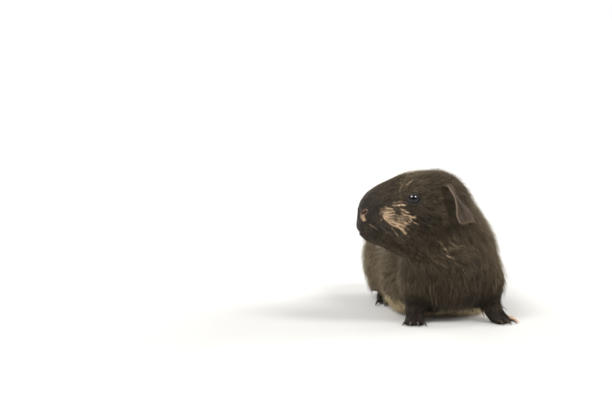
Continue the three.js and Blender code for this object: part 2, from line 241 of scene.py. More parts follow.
class Nodes:
    """Builds nodes in a tree from their type, settings and inputs."""

    def __init__(self, tree):
        self.tree = tree

    def node(self, kind, settings=None, inputs=None):
        made = self.tree.nodes.new(kind)
        for key, setting in (settings or {}).items():
            setattr(made, key, setting)
        for key, given in (inputs or {}).items():
            given = given.socket if isinstance(given, Value) else given
            if isinstance(given, bpy.types.NodeSocket):
                self.tree.links.new(given, made.inputs[key])
            else:
                made.inputs[key].default_value = given
        return made


class Value:
    """A number that varies over a surface or a mesh. Arithmetic on it adds Math nodes."""

    def __init__(self, nodes, socket):
        self.nodes, self.socket = nodes, socket

    def math(self, operation, first, second):
        made = self.nodes.node("ShaderNodeMath", {"operation": operation}, {0: first, 1: second})
        return Value(self.nodes, made.outputs[0])

    def __add__(self, other):
        return self.math("ADD", self, other)

    def __sub__(self, other):
        return self.math("SUBTRACT", self, other)

    def __rsub__(self, other):
        return self.math("SUBTRACT", other, self)

    def __mul__(self, other):
        return self.math("MULTIPLY", self, other)

    def __truediv__(self, other):
        return self.math("DIVIDE", self, other)

    __radd__, __rmul__ = __add__, __mul__

    def ramp(self, low, high):
        """0 below `low`, 1 above `high`, smooth between."""
        inputs = {"Value": self, "From Min": low, "From Max": high}
        settings = {"interpolation_type": "SMOOTHSTEP"}
        return Value(self.nodes, self.nodes.node("ShaderNodeMapRange", settings, inputs).outputs["Result"])


# ---------------------------------------------------------------- materials

class Finish(Nodes):
    """One material, built from nodes on Object coordinates and the piece's own attributes."""

    def __init__(self, name):
        self.material = bpy.data.materials.new(name)
        self.material.use_nodes = True
        super().__init__(self.material.node_tree)
        self.tree.nodes.clear()
        self.place = self.node("ShaderNodeTexCoord").outputs["Object"]

    def attribute(self, name):
        return Value(self, self.node("ShaderNodeAttribute", {"attribute_name": name}).outputs["Fac"])

    def noise(self, size_mm, detail=3.0, roughness=0.6):
        inputs = {"Vector": self.place, "Scale": 1 / (size_mm * MM)}
        inputs |= {"Detail": detail, "Roughness": roughness}
        return Value(self, self.node("ShaderNodeTexNoise", None, inputs).outputs["Fac"])

    def cells(self, size_mm):
        inputs = {"Vector": self.place, "Scale": 1 / (size_mm * MM)}
        return Value(self, self.node("ShaderNodeTexVoronoi", None, inputs).outputs["Distance"])

    def blend(self, share, first, second):
        """The first colour where share is 0, the second where it is 1."""
        first, second = ((*c, 1) if isinstance(c, tuple) else c for c in (first, second))
        inputs = {0: share, 6: first, 7: second}
        return self.node("ShaderNodeMix", {"data_type": "RGBA"}, inputs).outputs[2]

    def bump(self, height, depth_mm):
        inputs = {"Height": height, "Distance": depth_mm * MM, "Strength": 1.0}
        return self.node("ShaderNodeBump", None, inputs).outputs["Normal"]

    def done(self, **inputs):
        inputs = {key.replace("_", " "): value for key, value in inputs.items()}
        shader = self.node("ShaderNodeBsdfPrincipled", None, inputs)
        self.node("ShaderNodeOutputMaterial", None, {"Surface": shader.outputs["BSDF"]})
        return self.material


# The first colour is painted shade: the near-black that coat and skin are darkened to where shade falls.
PAINTED_SHADE_BLACK = (0.0050, 0.0038, 0.0026)
COAT_DARK = (0.0200, 0.0145, 0.0095)
COAT_BROWN = (0.112, 0.084, 0.052)
COAT_TAN = (0.82, 0.61, 0.40)
# The next colour is pale belly hair, brighter than its own colour so that it also stands in for light
# through the hair from behind: partly painted light. It also gives flank wisps their painted golden rim
# light.
COAT_OLIVE = (0.66, 0.53, 0.32)
TAN_ROOT = (0.42, 0.29, 0.18)
SKIN_DARK = (0.036, 0.027, 0.0185)
SKIN_PINK = (0.40, 0.24, 0.19)
# The next colour, for the feet, is partly their own dark skin and partly painted shade.
SKIN_FOOT = (0.022, 0.017, 0.012)
EAR_SKIN = (0.043, 0.029, 0.019)
# The next colour is the ear's pale rim, partly its own paler edge and partly painted highlight.
EAR_RIM_AND_HIGHLIGHT = (0.150, 0.105, 0.070)
SKIN_BLACK = (0.018, 0.013, 0.009)
# The next colour is painted shade in the nostrils, the mouth, the lower lid fold and the gaps between the
# toes.
CREASE_PAINTED_SHADE = (0.020, 0.008, 0.006)
EAR_MOTTLE = (0.046, 0.033, 0.024)
# The next colour is painted shade on the inner face and root of the ear.
EAR_PAINTED_SHADE = (0.016, 0.011, 0.008)
PUPIL = (0.0015, 0.0015, 0.0018)
IRIS = (0.004, 0.0028, 0.0024), (0.011, 0.0070, 0.0055)
IRIS_EDGE = (0.012, 0.008, 0.006)
LID_INSIDE, LID_OUTSIDE = (0.010, 0.007, 0.006), (0.036, 0.026, 0.018)
LID_PALE = (0.20, 0.140, 0.095)
LID_FOLD = (0.018, 0.012, 0.009)
HORN_LINE = (0.05, 0.032, 0.024)
FLOOR = (0.50, 0.49, 0.47), (0.52, 0.51, 0.49)
# From the root to the tip:
HORN_DARK = (0.010, 0.007, 0.006), (0.036, 0.025, 0.018)
HORN_PALE = (0.16, 0.095, 0.060), (0.62, 0.42, 0.28)
WHISKER = (0.030, 0.022, 0.016), (0.12, 0.095, 0.07)
LASH = (0.16, 0.115, 0.08), (0.42, 0.33, 0.24)
EAR_HAIR = (0.040, 0.028, 0.019), (0.13, 0.095, 0.062)


def coat_finish():
    """Fine hair with a soft shine: dark at the root, browner at the tip, with pale markings and painted
    shade.
    """
    f = Finish("coat")
    along, tone = f.attribute("along"), f.attribute("tone")
    streak = f.noise(1.6, 2.0)
    warm = (tone * 0.6 + along * 0.4 + (streak - 0.5) * 0.35).ramp(0.0, 1.0)
    dark = f.blend(warm, COAT_DARK, COAT_BROWN)
    # Olive belly hair, partly its own colour and partly painted light; on flank wisps, painted rim light.
    dark = f.blend(f.attribute("olive"), dark, COAT_OLIVE)
    # Painted shade: the coat is darkened by the shade share.
    dark = f.blend(f.attribute("shade"), dark, PAINTED_SHADE_BLACK)
    pale = f.blend((along * 0.5 + tone * 0.75).ramp(0.0, 0.9), TAN_ROOT, COAT_TAN)
    colour = f.blend(f.attribute("tan"), dark, pale)
    return f.done(Base_Color=colour, Roughness=0.60 - tone * 0.14, Specular_IOR_Level=0.22)


def skin_finish():
    """Dark skin under the coat, bare on the nose, lips and feet, with a fine grain, and painted shade in
    creases and where shade falls.
    """
    f = Finish("skin")
    grain = f.noise(0.5, 4.0)
    pores = f.cells(0.42)
    colour = f.blend(grain.ramp(0.3, 0.7), SKIN_BLACK, SKIN_DARK)
    # The feet's skin is darker, partly its own colour and partly painted shade.
    colour = f.blend(f.attribute("foot"), colour, SKIN_FOOT)
    # Olive belly, partly its own colour and partly painted light.
    colour = f.blend(f.attribute("olive") * 0.7, colour, COAT_OLIVE)
    # Painted shade: the skin is darkened by the shade share.
    colour = f.blend(f.attribute("shade"), colour, PAINTED_SHADE_BLACK)
    colour = f.blend(f.attribute("tan") * 0.8, colour, TAN_ROOT)
    colour = f.blend(f.attribute("pink"), colour, SKIN_PINK)
    # Painted shade in the creases: nostrils, mouth, lower lid fold and the gaps between the toes.
    colour = f.blend(f.attribute("crease"), colour, CREASE_PAINTED_SHADE)
    normal = f.bump(grain * 0.6 + pores * 0.4, 0.12)
    return f.done(Base_Color=colour, Roughness=0.62 - f.attribute("moist") * 0.3, Normal=normal,
                  Specular_IOR_Level=0.3)


def ear_finish():
    """Thin bare skin with wrinkles and tiny pores, paler along the rim, which is partly painted highlight,
    and with painted shade on its inner face and root.
    """
    f = Finish("ear skin")
    mottle = f.noise(2.6, 4.0)
    wrinkle = f.noise(0.7, 3.0)
    colour = f.blend(mottle.ramp(0.3, 0.7), EAR_MOTTLE, EAR_SKIN)
    # Pale rim: partly the ear's own edge, partly painted highlight.
    colour = f.blend(f.attribute("rim"), colour, EAR_RIM_AND_HIGHLIGHT)
    # Painted shade on the inner face and root of the ear.
    colour = f.blend(f.attribute("hollow"), colour, EAR_PAINTED_SHADE)
    normal = f.bump(wrinkle * 0.7 + f.cells(0.5) * 0.3, 0.14)
    return f.done(Base_Color=colour, Roughness=0.58, Normal=normal, Specular_IOR_Level=0.3,
                  Subsurface_Weight=0.10, Subsurface_Radius=(0.0020, 0.0009, 0.0006), Subsurface_Scale=1.0)


def eye_finish():
    """A wet dark eye: black pupil, nearly black brown iris with fine rays, clear gloss."""
    f = Finish("eye")
    off_axis = f.attribute("off_axis")
    rays = f.noise(0.35, 3.0)
    iris = f.blend(rays, *IRIS)
    iris = f.blend(off_axis.ramp(0.72, 0.95), iris, IRIS_EDGE)
    colour = f.blend(off_axis.ramp(0.34, 0.42), PUPIL, iris)
    return f.done(Base_Color=colour, Roughness=0.14 + rays * 0.02, Specular_IOR_Level=0.12,
                  Coat_Weight=f.attribute("wet"), Coat_Roughness=0.03)


def lid_finish():
    """Bare moist lid skin: a paler lower edge, dark corners and brown outside."""
    f = Finish("eyelid")
    fold = f.noise(0.55, 3.0)
    colour = f.blend(f.attribute("outward").ramp(0.1, 0.6), LID_INSIDE, LID_OUTSIDE)
    colour = f.blend(f.attribute("pale"), colour, LID_PALE)
    colour = f.blend(fold.ramp(0.35, 0.75) * 0.4, colour, LID_FOLD)
    return f.done(Base_Color=colour, Roughness=0.36 + fold * 0.2, Normal=f.bump(fold, 0.1))


def claw_finish():
    """Horn, from dark at the root to pale tan at the tip, with fine lengthwise lines."""
    f = Finish("horn")
    along, pale = f.attribute("along"), f.attribute("pale")
    line = f.noise(0.25, 3.0)
    dark = f.blend(along, *HORN_DARK)
    light = f.blend(along, *HORN_PALE)
    colour = f.blend(pale, dark, light)
    colour = f.blend((line - 0.4) * 0.5, colour, HORN_LINE)
    return f.done(Base_Color=colour, Roughness=0.55 - pale * 0.2 + line * 0.1, Normal=f.bump(line, 0.05),
                  Specular_IOR_Level=0.25, Subsurface_Weight=0.1,
                  Subsurface_Radius=(0.0010, 0.0006, 0.0004), Subsurface_Scale=1.0)


def hair_finish(name, root, tip):
    """Single stiff hairs, from one colour at the root to another at the tip."""
    f = Finish(name)
    colour = f.blend(f.attribute("along"), root, tip)
    colour = f.blend(f.noise(3.0).ramp(0.35, 0.75) * 0.35, colour, root)
    return f.done(Base_Color=colour, Roughness=0.45, Specular_IOR_Level=0.3)


def floor_finish():
    f = Finish("pale floor")
    shade = f.blend(f.noise(400.0).ramp(0.2, 0.8), *FLOOR)
    return f.done(Base_Color=shade, Roughness=0.55 + f.noise(90.0) * 0.05, Specular_IOR_Level=0.2)


# ---------------------------------------------------------------- meshes

def mesh_object(name, points, faces, material, attributes):
    """A mesh object from arrays: points in millimetres, faces all with as many corners."""
    faces = np.asarray(faces, np.int32)
    mesh = bpy.data.meshes.new(name)
    mesh.vertices.add(len(points))
    mesh.vertices.foreach_set("co", (np.asarray(points) * MM).astype(np.float32).ravel())
    if len(faces):
        mesh.loops.add(faces.size)
        mesh.loops.foreach_set("vertex_index", faces.ravel())
        mesh.polygons.add(len(faces))
        mesh.polygons.foreach_set("loop_start", np.arange(0, faces.size, faces.shape[1], dtype=np.int32))
        mesh.polygons.foreach_set("use_smooth", np.ones(len(faces), bool))
    mesh.update()
    mesh.validate()
    for key, values in attributes.items():
        values = np.asarray(values, np.float32)
        kind, field = ("FLOAT", "value") if values.ndim == 1 else ("FLOAT_VECTOR", "vector")
        mesh.attributes.new(key, kind, "POINT").data.foreach_set(field, values.ravel())
    if material:
        mesh.materials.append(material)
    return placed(name, mesh)


def placed(name, mesh):
    thing = bpy.data.objects.new(name, mesh)
    bpy.context.scene.collection.objects.link(thing)
    return thing


def closed_piece(name, points, faces, material, attributes):
    """A mesh object from mixed faces, with its normals made to point outwards."""
    shape = bmesh.new()
    layers = {key: shape.verts.layers.float.new(key) for key in attributes}
    verts = [shape.verts.new(np.asarray(p) * MM) for p in points]
    for key, layer in layers.items():
        for vertex, value in zip(verts, attributes[key]):
            vertex[layer] = float(value)
    for face in faces:
        shape.faces.new([verts[i] for i in dict.fromkeys(face)])
    bmesh.ops.recalc_face_normals(shape, faces=shape.faces)
    mesh = bpy.data.meshes.new(name)
    shape.to_mesh(mesh)
    shape.free()
    mesh.polygons.foreach_set("use_smooth", np.ones(len(mesh.polygons), bool))
    mesh.materials.append(material)
    return placed(name, mesh)


def mesh_arrays(mesh):
    """Points in the mesh's own unit, and its triangles."""
    points = np.empty(len(mesh.vertices) * 3, np.float32)
    mesh.vertices.foreach_get("co", points)
    mesh.calc_loop_triangles()
    triangles = np.empty(len(mesh.loop_triangles) * 3, np.int32)
    mesh.loop_triangles.foreach_get("vertices", triangles)
    return points.reshape(-1, 3).astype(float), triangles.reshape(-1, 3)


def edges_of(triangles):
    pairs = np.concatenate((triangles[:, (0, 1)], triangles[:, (1, 2)], triangles[:, (2, 0)]))
    return np.unique(np.sort(pairs, axis=1), axis=0)


def normals_of(points, triangles):
    a, b, c = (points[triangles[:, k]] for k in range(3))
    across = np.cross(b - a, c - a)
    total = np.stack([sum(np.bincount(triangles[:, k], across[:, axis], len(points)) for k in range(3))
                      for axis in range(3)], axis=1)
    return unit(total)


def relax(values, edges, weight, rounds):
    """Moves each value towards the mean of its neighbours, `rounds` times."""
    flat = values.ndim == 1
    values = values[:, None] if flat else values
    start, end = edges.T
    count = len(values)
    degree = np.maximum(np.bincount(start, minlength=count) + np.bincount(end, minlength=count), 1)
    weight = np.broadcast_to(np.asarray(weight, float), count)[:, None] * 0.5
    for _ in range(rounds):
        total = np.stack([np.bincount(start, column[end], count) + np.bincount(end, column[start], count)
                          for column in values.T], axis=1)
        values = values + (total / degree[:, None] - values) * weight
    return values[:, 0] if flat else values


def fair(points, edges, weight, rounds):
    """Takes facets away and keeps the broad shape."""
    smooth = relax(points, edges, weight, rounds)
    return smooth + relax(points - smooth, edges, weight, rounds)


def node_copy(node, grow):
    """A merged copy of a CAD node in millimetres, grown by `grow`, as a bmesh."""
    shape = bmesh.new()
    shape.from_mesh(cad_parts[node].data)
    bmesh.ops.scale(shape, vec=(1 / MM,) * 3, verts=shape.verts)
    bmesh.ops.remove_doubles(shape, verts=shape.verts, dist=0.002)
    shape.normal_update()
    for vertex, normal in [(v, v.normal.copy()) for v in shape.verts]:
        vertex.co += normal * grow
    return shape


def joined(nodes, grow):
    """One mesh of merged copies of the nodes."""
    whole = bpy.data.meshes.new("joined")
    gathered = bmesh.new()
    for node in nodes:
        shape = node_copy(node, grow)
        shape.to_mesh(whole)
        gathered.from_mesh(whole)
        shape.free()
    gathered.to_mesh(whole)
    gathered.free()
    return whole


def with_modifier(mesh, kind, **settings):
    """The mesh after one modifier, as a new plain mesh."""
    thing = placed("in work", mesh)
    modifier = thing.modifiers.new("shape", kind)
    for key, setting in settings.items():
        setattr(modifier, key, setting)
    made = bpy.data.meshes.new_from_object(thing.evaluated_get(bpy.context.evaluated_depsgraph_get()))
    bpy.data.objects.remove(thing)
    bpy.data.meshes.remove(mesh)
    return made


def refined(points, triangles, chosen):
    """Splits each edge whose two points are chosen, and returns new arrays."""
    mesh = bpy.data.meshes.new("refined")
    mesh.from_pydata(points, [], triangles)
    shape = bmesh.new()
    shape.from_mesh(mesh)
    edges = [e for e in shape.edges if chosen[e.verts[0].index] and chosen[e.verts[1].index]]
    bmesh.ops.subdivide_edges(shape, edges=edges, cuts=1, use_grid_fill=True)
    bmesh.ops.triangulate(shape, faces=shape.faces)
    shape.to_mesh(mesh)
    shape.free()
    arrays = mesh_arrays(mesh)
    bpy.data.meshes.remove(mesh)
    return arrays


def ring_faces(rings, steps, closed):
    """Quads between neighbouring rings of `steps` points."""
    faces = []
    for r in range(rings if closed else rings - 1):
        a, b = r * steps, ((r + 1) % rings) * steps
        faces += [(a + s, a + (s + 1) % steps, b + (s + 1) % steps, b + s) for s in range(steps)]
    return faces


# ---------------------------------------------------------------- where things are on the animal

def head_measure(points):
    """Below 1 on the head, above 1 off it."""
    return np.linalg.norm((HEAD.locate(points) - (0, 0, -4)) / (42, 34, 36), axis=1)


def on_head(points):
    return 1 - smoothstep(0.88, 1.12, head_measure(points))


def box_gap(points, node, margin):
    """How far each point lies outside a node's box and the margin round it, along each axis."""
    low, high = corner(node, False), corner(node, True)
    return np.maximum(np.maximum(low - margin - points, points - high - margin), 0)


def foot_mask(points):
    """1 on the four feet."""
    inside = np.zeros(len(points))
    for part in ("forefoot", "hindfoot"):
        for side in SIDES:
            gap = box_gap(points, f"{part}_{side}", 1)
            gap[:, 2] = np.maximum(points[:, 2] - FOOT_TOP, 0)
            inside = np.maximum(inside, 1 - smoothstep(0, 3, np.linalg.norm(gap, axis=1)))
    return inside


def shin(side):
    """Middle of the lower end of a foreleg."""
    spots = np.array([v.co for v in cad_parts[f"foreleg_{side}"].data.vertices]) / MM
    return spots[spots[:, 2] < SHIN_TOP].mean(axis=0)


def leg_mask(points):
    """1 on the lower forelegs and near the hind feet."""
    inside = np.zeros(len(points))
    for side in SIDES:
        near = 1 - smoothstep(8, 13, np.linalg.norm((points - shin(side))[:, :2], axis=1))
        inside = np.maximum(inside, near * (1 - smoothstep(14, 34, points[:, 2])))
        gap = box_gap(points, f"hindfoot_{side}", 0)[:, :2]
        near = 1 - smoothstep(0, 8, np.linalg.norm(gap, axis=1))
        inside = np.maximum(inside, near * (1 - smoothstep(6, 16, points[:, 2])))
    return inside


def coat_depth(points):
    """How deep the coat lies over the skin."""
    forward = HEAD.locate(points)[:, 0]
    face = mix(COAT_CROWN, COAT_CHEEK, smoothstep(-22, 0, forward))
    face = mix(face, COAT_MUZZLE, smoothstep(2, 27, forward))
    depth = mix(COAT_BODY, face, on_head(points))
    depth = mix(depth, COAT_LEG, leg_mask(points))
    return mix(depth, COAT_FOOT, foot_mask(points))


# ---------------------------------------------------------------- the skin

def polyline_distance(points, line):
    """Distance from each point to a line of given points."""
    best = np.full(len(points), 1e9)
    for start, end in zip(line[:-1], line[1:]):
        run = end - start
        t = np.clip((points - start) @ run / max(run @ run, 1e-9), 0, 1)
        best = np.minimum(best, np.linalg.norm(points - start - t[:, None] * run, axis=1))
    return best


def eye_ring(radius, start, end, steps=9):
    """Places on the head along an arc round the eye. 0 degrees is forward, 90 is up."""
    angles = np.radians(np.linspace(start, end, steps))
    return [(EYE_PLACE[0] + radius * math.cos(a), EYE_PLACE[1] + 1.5, EYE_PLACE[2] + radius * math.sin(a))
            for a in angles]


# Each feature of the face: its line on the left side of the head, how wide it is and how high.
FACE_LINES = (
    ("nostril", [(30.2, 4.8, -8.6), NOSTRIL, (27.8, 7.0, -7.4)], 0.75, -1.9),
    ("nostril wing", [(31.4, 3.4, -7.0), (29.8, 5.2, -6.2), (27.6, 7.2, -5.8), (26.6, 8.0, -7.4)], 1.0, 0.5),
    ("philtrum", [(33.8, 0, -10.5), (33.4, 0, -15.0), (32.2, 0, -20.5)], 0.7, -1.0),
    ("upper lip", [(32.6, 2.6, -17.5), (29.5, 6.6, -19.0), (25.0, 9.0, -21.0)], 2.6, 0.6),
    ("mouth", [(31.8, 0, -21.8), (30.4, 3.6, -22.6), (27.0, 7.0, -24.2), (24.0, 9.0, -25.0)], 0.7, -0.9),
    ("lower lip", [(30.6, 0, -24.6), (28.6, 4.0, -25.6), (25.0, 7.4, -27.0)], 1.5, 0.15),
    ("brow", eye_ring(7.2, 25, 165), 1.6, 0.6),
    ("brow wrinkle", [(6.5, 12.8, 6.8), (5.0, 11.9, 9.4), (2.4, 10.6, 11.6)], 0.7, 0.40),
    ("front wrinkle", [(3.6, 14.2, 6.6), (2.0, 13.2, 9.2), (-1.2, 11.8, 11.2)], 0.6, 0.40),
    ("lower lid fold", eye_ring(5.7, 225, 325), 0.65, -0.75),
    ("second lid fold", eye_ring(7.9, 240, 300), 0.7, -0.5),
    ("cheek pouch", eye_ring(10.4, 215, 330), 2.4, 0.4),
    ("rear corner", [(-6.6, 19.2, 1.2), (-9.6, 19.6, 1.0), (-12.5, 19.6, 0.6)], 0.6, -0.5),
    ("temple fold", [(-12, 19.4, 2.8), (-18, 19.4, 2.4), (-24, 18.8, 1.6)], 0.9, 0.55),
    ("temple groove", [(-11, 19.4, 0.2), (-17, 19.8, -0.2), (-22, 19.4, -1.0)], 0.8, -0.5),
    ("lower temple fold", [(-9.7, 22.3, -8.2), (-15.5, 22.4, -8.8), (-21.4, 21.7, -8.9)], 0.9, 0.45),
    ("ear hollow", [(-23.4, 18.0, 7.0), (-24.6, 19.6, 2.0), (-25.6, 20.4, -3.0), (-26.0, 21.0, -8.0)],
     2.0, -2.6),
)


def toe_gaps():
    """The lines between neighbouring toes, from half-way along each foot to between the claws."""
    lines = []
    for side in SIDES:
        for foot, toes in (("fore", 4), ("hind", 3)):
            heel = middle(f"{foot}foot_{side}")
            tips = np.array([middle(f"{foot}claw_{side}_{n}") for n in range(1, toes + 1)])
            for between in (tips[:-1] + tips[1:]) / 2:
                lines.append(np.array([mix(heel, between, share) for share in (0.25, 0.6, 1.0)]))
    return lines


def toe_gap(points):
    """1 in the middle of each gap between two toes."""
    gap = np.zeros(len(points))
    foot = np.flatnonzero(foot_mask(points) > 0)
    for line in toe_gaps():
        away = points[foot, None, :2] - smooth_line(line, 12)[None, :, :2]
        gap[foot] = np.maximum(gap[foot], bell(np.linalg.norm(away, axis=2).min(axis=1), TOE_GAP))
    return gap * foot_mask(points)


def sculpt_feet(points, triangles):
    """Sinks the skin between the toes, and returns how deep in a gap each point lies."""
    gap = toe_gap(points) * smoothstep(0.4, 1.6, points[:, 2])
    return points - normals_of(points, triangles) * gap[:, None] * TOE_GAP_DEPTH, gap


def sculpt_face(points, triangles):
    """Nostrils, lips, lids and folds as raised and sunk lines on both sides of the face."""
    tree = BVHTree.FromPolygons(points.tolist(), triangles.tolist())
    normals = normals_of(points, triangles)
    near = np.flatnonzero(head_measure(points) < 1.2)
    height, moist, crease = np.zeros((3, len(points)))
    for name, line, reach, rise in FACE_LINES:
        for side in SIDES.values():
            spots = np.array([tree.find_nearest(Vector(HEAD.place(spot, side)))[0] for spot in line])
            share = bell(polyline_distance(points[near], spots), reach)
            height[near] += rise * share * (0.5 if abs(line[-1][1]) < 0.01 else 1)
            if name in ("nostril", "nostril wing", "philtrum", "mouth"):
                moist[near] = np.maximum(moist[near], share)
            # The crease share is painted shade along the nostrils, the mouth and the lower lid fold.
            if name in ("nostril", "mouth", "lower lid fold"):
                crease[near] = np.maximum(crease[near], share ** 1.5)
    return points + normals * height[:, None], moist, crease


def settled(points, triangles, edges, outline, depth):
    """Brings the skin back to its depth inside the outline where smoothing has drawn it in."""
    near = [outline.find_nearest(Vector(p)) for p in points]
    away = points - np.array([n[0] for n in near])
    inside = -np.sum(away * np.array([n[1] for n in near]), axis=1)
    short = relax(np.clip(inside - depth, -1, 3), edges, 1.0, 40)
    return relax(points + normals_of(points, triangles) * short[:, None], edges, 0.5, 2)


def build_skin():
    """One closed skin inside the flesh nodes by the depth of the coat."""
    mesh = joined(FLESH + ["eye_left", "eye_right"], OVERLAP)
    mesh = with_modifier(mesh, "REMESH", mode="VOXEL", voxel_size=SKIN_GRAIN, adaptivity=0.0)
    points, triangles = mesh_arrays(mesh)
    bpy.data.meshes.remove(mesh)
    edges = edges_of(triangles)
    points -= normals_of(points, triangles) * OVERLAP
    outline = BVHTree.FromPolygons(points.tolist(), triangles.tolist())
    flesh = 1 - foot_mask(points)
    broad = flesh * (1 - on_head(points))
    points = fair(points, edges, 1.0, 3)
    points = fair(points, edges, flesh, 12)
    points = fair(points, edges, relax(broad, edges, 1.0, 10), 80)
    chosen = (HEAD.locate(points)[:, 0] > -12) & (head_measure(points) < 1.05)
    chosen |= (foot_mask(points) > 0.6) & (points[:, 1] < corner("foreleg_left", True)[1])
    points, triangles = refined(points, triangles, chosen)
    edges = edges_of(triangles)
    points = relax(points, edges, 0.8, 2)
    depth = relax(coat_depth(points), edges, 1.0, 12)
    above_sole = smoothstep(0.2, 2.5, points[:, 2])
    points -= normals_of(points, triangles) * (depth * above_sole)[:, None]
    points[:, 2] = np.maximum(points[:, 2], 0.02)
    points = settled(points, triangles, edges, outline, depth * above_sole)
    points[:, 2] = np.maximum(points[:, 2], 0.02)
    points, moist, crease = sculpt_face(points, triangles)
    points, gap = sculpt_feet(points, triangles)
    # The crease share, with the toe gaps, is painted shade for the skin.
    return points, triangles, {"moist": moist, "crease": np.maximum(crease, gap)}


# ---------------------------------------------------------------- markings, the same on skin and coat

# Streaks of pale hair on the left of the head, some of them painted highlight: the line, half its width and
# the share of pale hairs.
CHEEK_STREAKS = (
    ([(11.0, 14.1, -3.4), (4.5, 17.2, -2.8)], 0.65, 0.9),
    ([(10.5, 14.0, -1.6), (4.3, 17.0, -0.6)], 0.6, 0.45),
    ([(15.6, 12.8, -5.0), (11.0, 14.5, -5.2)], 0.6, 0.9),
    ([(17.0, 12.8, -7.8), (10.7, 15.1, -6.9)], 0.7, 0.95),
    ([(17.4, 13.5, -9.6), (10.8, 15.4, -8.6)], 0.65, 0.95),
    ([(17.2, 13.6, -10.3), (11.4, 15.8, -10.8)], 0.6, 0.9),
    ([(16.6, 13.9, -10.9), (12.0, 16.1, -13.6), (8.6, 18.3, -14.6), (5.4, 20.4, -15.8)], 0.9, 0.95),
    ([(16.4, 14.0, -11.3), (12.6, 16.1, -15.3), (9.1, 18.3, -16.3), (7.1, 19.8, -17.6), (5.0, 21.1, -20.2)],
     0.85, 0.95),
    ([(14.5, 14.0, -8.0), (12.0, 15.2, -11.5)], 2.4, 0.55),
    ([(12.0, 15.6, -12.2), (5.6, 20.2, -14.4)], 1.6, 0.5),
    ([(9.0, 17.4, -11.0), (5.2, 19.6, -11.6)], 1.3, 0.5),
    ([(6.8, 16.7, -5.3), (2.8, 19.5, -7.5)], 0.6, 0.8),
    ([(6.6, 17.7, -8.1), (2.9, 20.0, -9.1), (0.3, 21.3, -10.1), (-2.4, 21.8, -9.6)], 0.55, 0.8),
    ([(2.5, 20.5, -10.1), (0.0, 21.9, -13.2), (-1.4, 22.8, -13.8)], 0.45, 0.7),
    ([(5.0, 19.6, -9.8), (0.6, 21.8, -12.4)], 0.4, 0.6),
    ([(7.8, 18.0, -12.6), (2.2, 21.0, -14.6)], 0.4, 0.7),
    ([(7.0, 18.6, -8.8), (4.4, 20.4, -13.6)], 0.35, 0.6),
    ([(8.0, 18.0, -8.5), (4.0, 20.4, -12.0)], 2.6, 0.4),
    ([(17.0, 13.6, -7.0), (13.0, 15.4, -12.0)], 3.0, 0.35),
    ([(12.2, 16.5, -17.4), (8.2, 18.7, -23.3)], 0.5, 0.5),
    ([(5.3, 21.0, -19.0), (3.5, 21.4, -23.1)], 0.45, 0.45),
    ([(5.8, 20.3, -15.0), (2.9, 22.0, -17.9)], 0.45, 0.4),
    ([(19.0, 13.8, -12.2), (18.6, 13.9, -12.4)], 0.5, 0.6),
    ([(25.8, 10.6, -15.6), (24.0, 11.8, -16.6), (22.3, 12.7, -18.0)], 0.35, 0.5),
    ([(29.4, 6.0, -10.8), (28.9, 6.9, -12.6)], 1.15, 0.85),
    # Painted highlight: pale streaks for light on the wrinkles in front of the eye.
    ([(6.5, 12.8, 5.8), (5.6, 12.0, 8.6), (4.0, 10.6, 11.6)], 0.4, 0.35),
    ([(3.4, 14.4, 6.8), (2.4, 13.0, 9.2), (-0.4, 11.2, 12.2)], 0.4, 0.35),
    # Painted highlight: pale streaks for the shine on the temple's locks and folds.
    ([(-13.8, 19.6, 1.9), (-24.9, 18.9, 1.3)], 0.6, 0.16),
    ([(-9.7, 22.3, -8.2), (-21.4, 21.7, -8.9)], 0.6, 0.14),
    ([(-16.7, 20.2, -26.1), (-20.5, 19.0, -29.0), (-23.7, 18.8, -31.0), (-30.4, 19.2, -30.5)], 1.1, 0.28),
    ([(-24.0, 19.3, -27.0), (-28.5, 19.0, -29.0)], 1.0, 0.22),
    ([(-22.8, 17.6, -35.1), (-22.0, 17.6, -35.6)], 1.2, 0.4),
)
# Dark gaps inside the cheek patch: the line, half its width and how much of the tan it takes away.
CHEEK_GAPS = (
    ([(10.2, 15.2, -5.4), (7.4, 17.2, -8.6)], 1.3, 0.85),
    ([(12.0, 15.6, -10.2), (9.6, 16.9, -12.4)], 0.8, 0.5),
)
DEPTH_COUNTS = (1, 0.3, 1)
# Painted shade on coat and skin: the middle on the head, its reach and how much darker.
SHADES = (
    # The muzzle and the side of the nose: partly darker hair, partly painted shade.
    ((30, 8, -6), (13, 14, 16), 0.55),
    ((20, 12, -6), (5, 6, 5), 0.75),
    # The hollow in front of the ear, the skin under the ear and the lower cheek: painted shade.
    ((-26, 21, -1), (3.6, 6, 11), 0.7),
    ((-30, 22, -15), (8, 6, 4), 0.45),
    ((-8, 21, -15), (14, 8, 9), 0.4),
)
# Painted shade on the lower legs and feet, and in the gap between each foreleg and the chest.
LEG_SHADE = 0.72
ARMPIT_SHADE = 0.6
CHEST_TAN = 0.09             # share of pale hairs low on the chest
NOSE_RINGS = ([(30.4, 4.4, -8.9), (28.9, 6.1, -8.2), (27.4, 7.3, -7.2)], 1.7, 0.55)


def streak_share(points, streaks):
    """The largest share that any of the streaks gives each point. Depth in the coat counts for little."""
    best = np.zeros(len(points))
    wobble = ripple(points, 2.4, 11)
    flat = HEAD.locate(points) * DEPTH_COUNTS
    for line, reach, share in streaks:
        gap = polyline_distance(flat, np.array(line) * DEPTH_COUNTS) + wobble * reach * 0.22
        best = np.maximum(best, share * (1 - smoothstep(reach * 0.6, reach * 1.35, gap)))
    return best


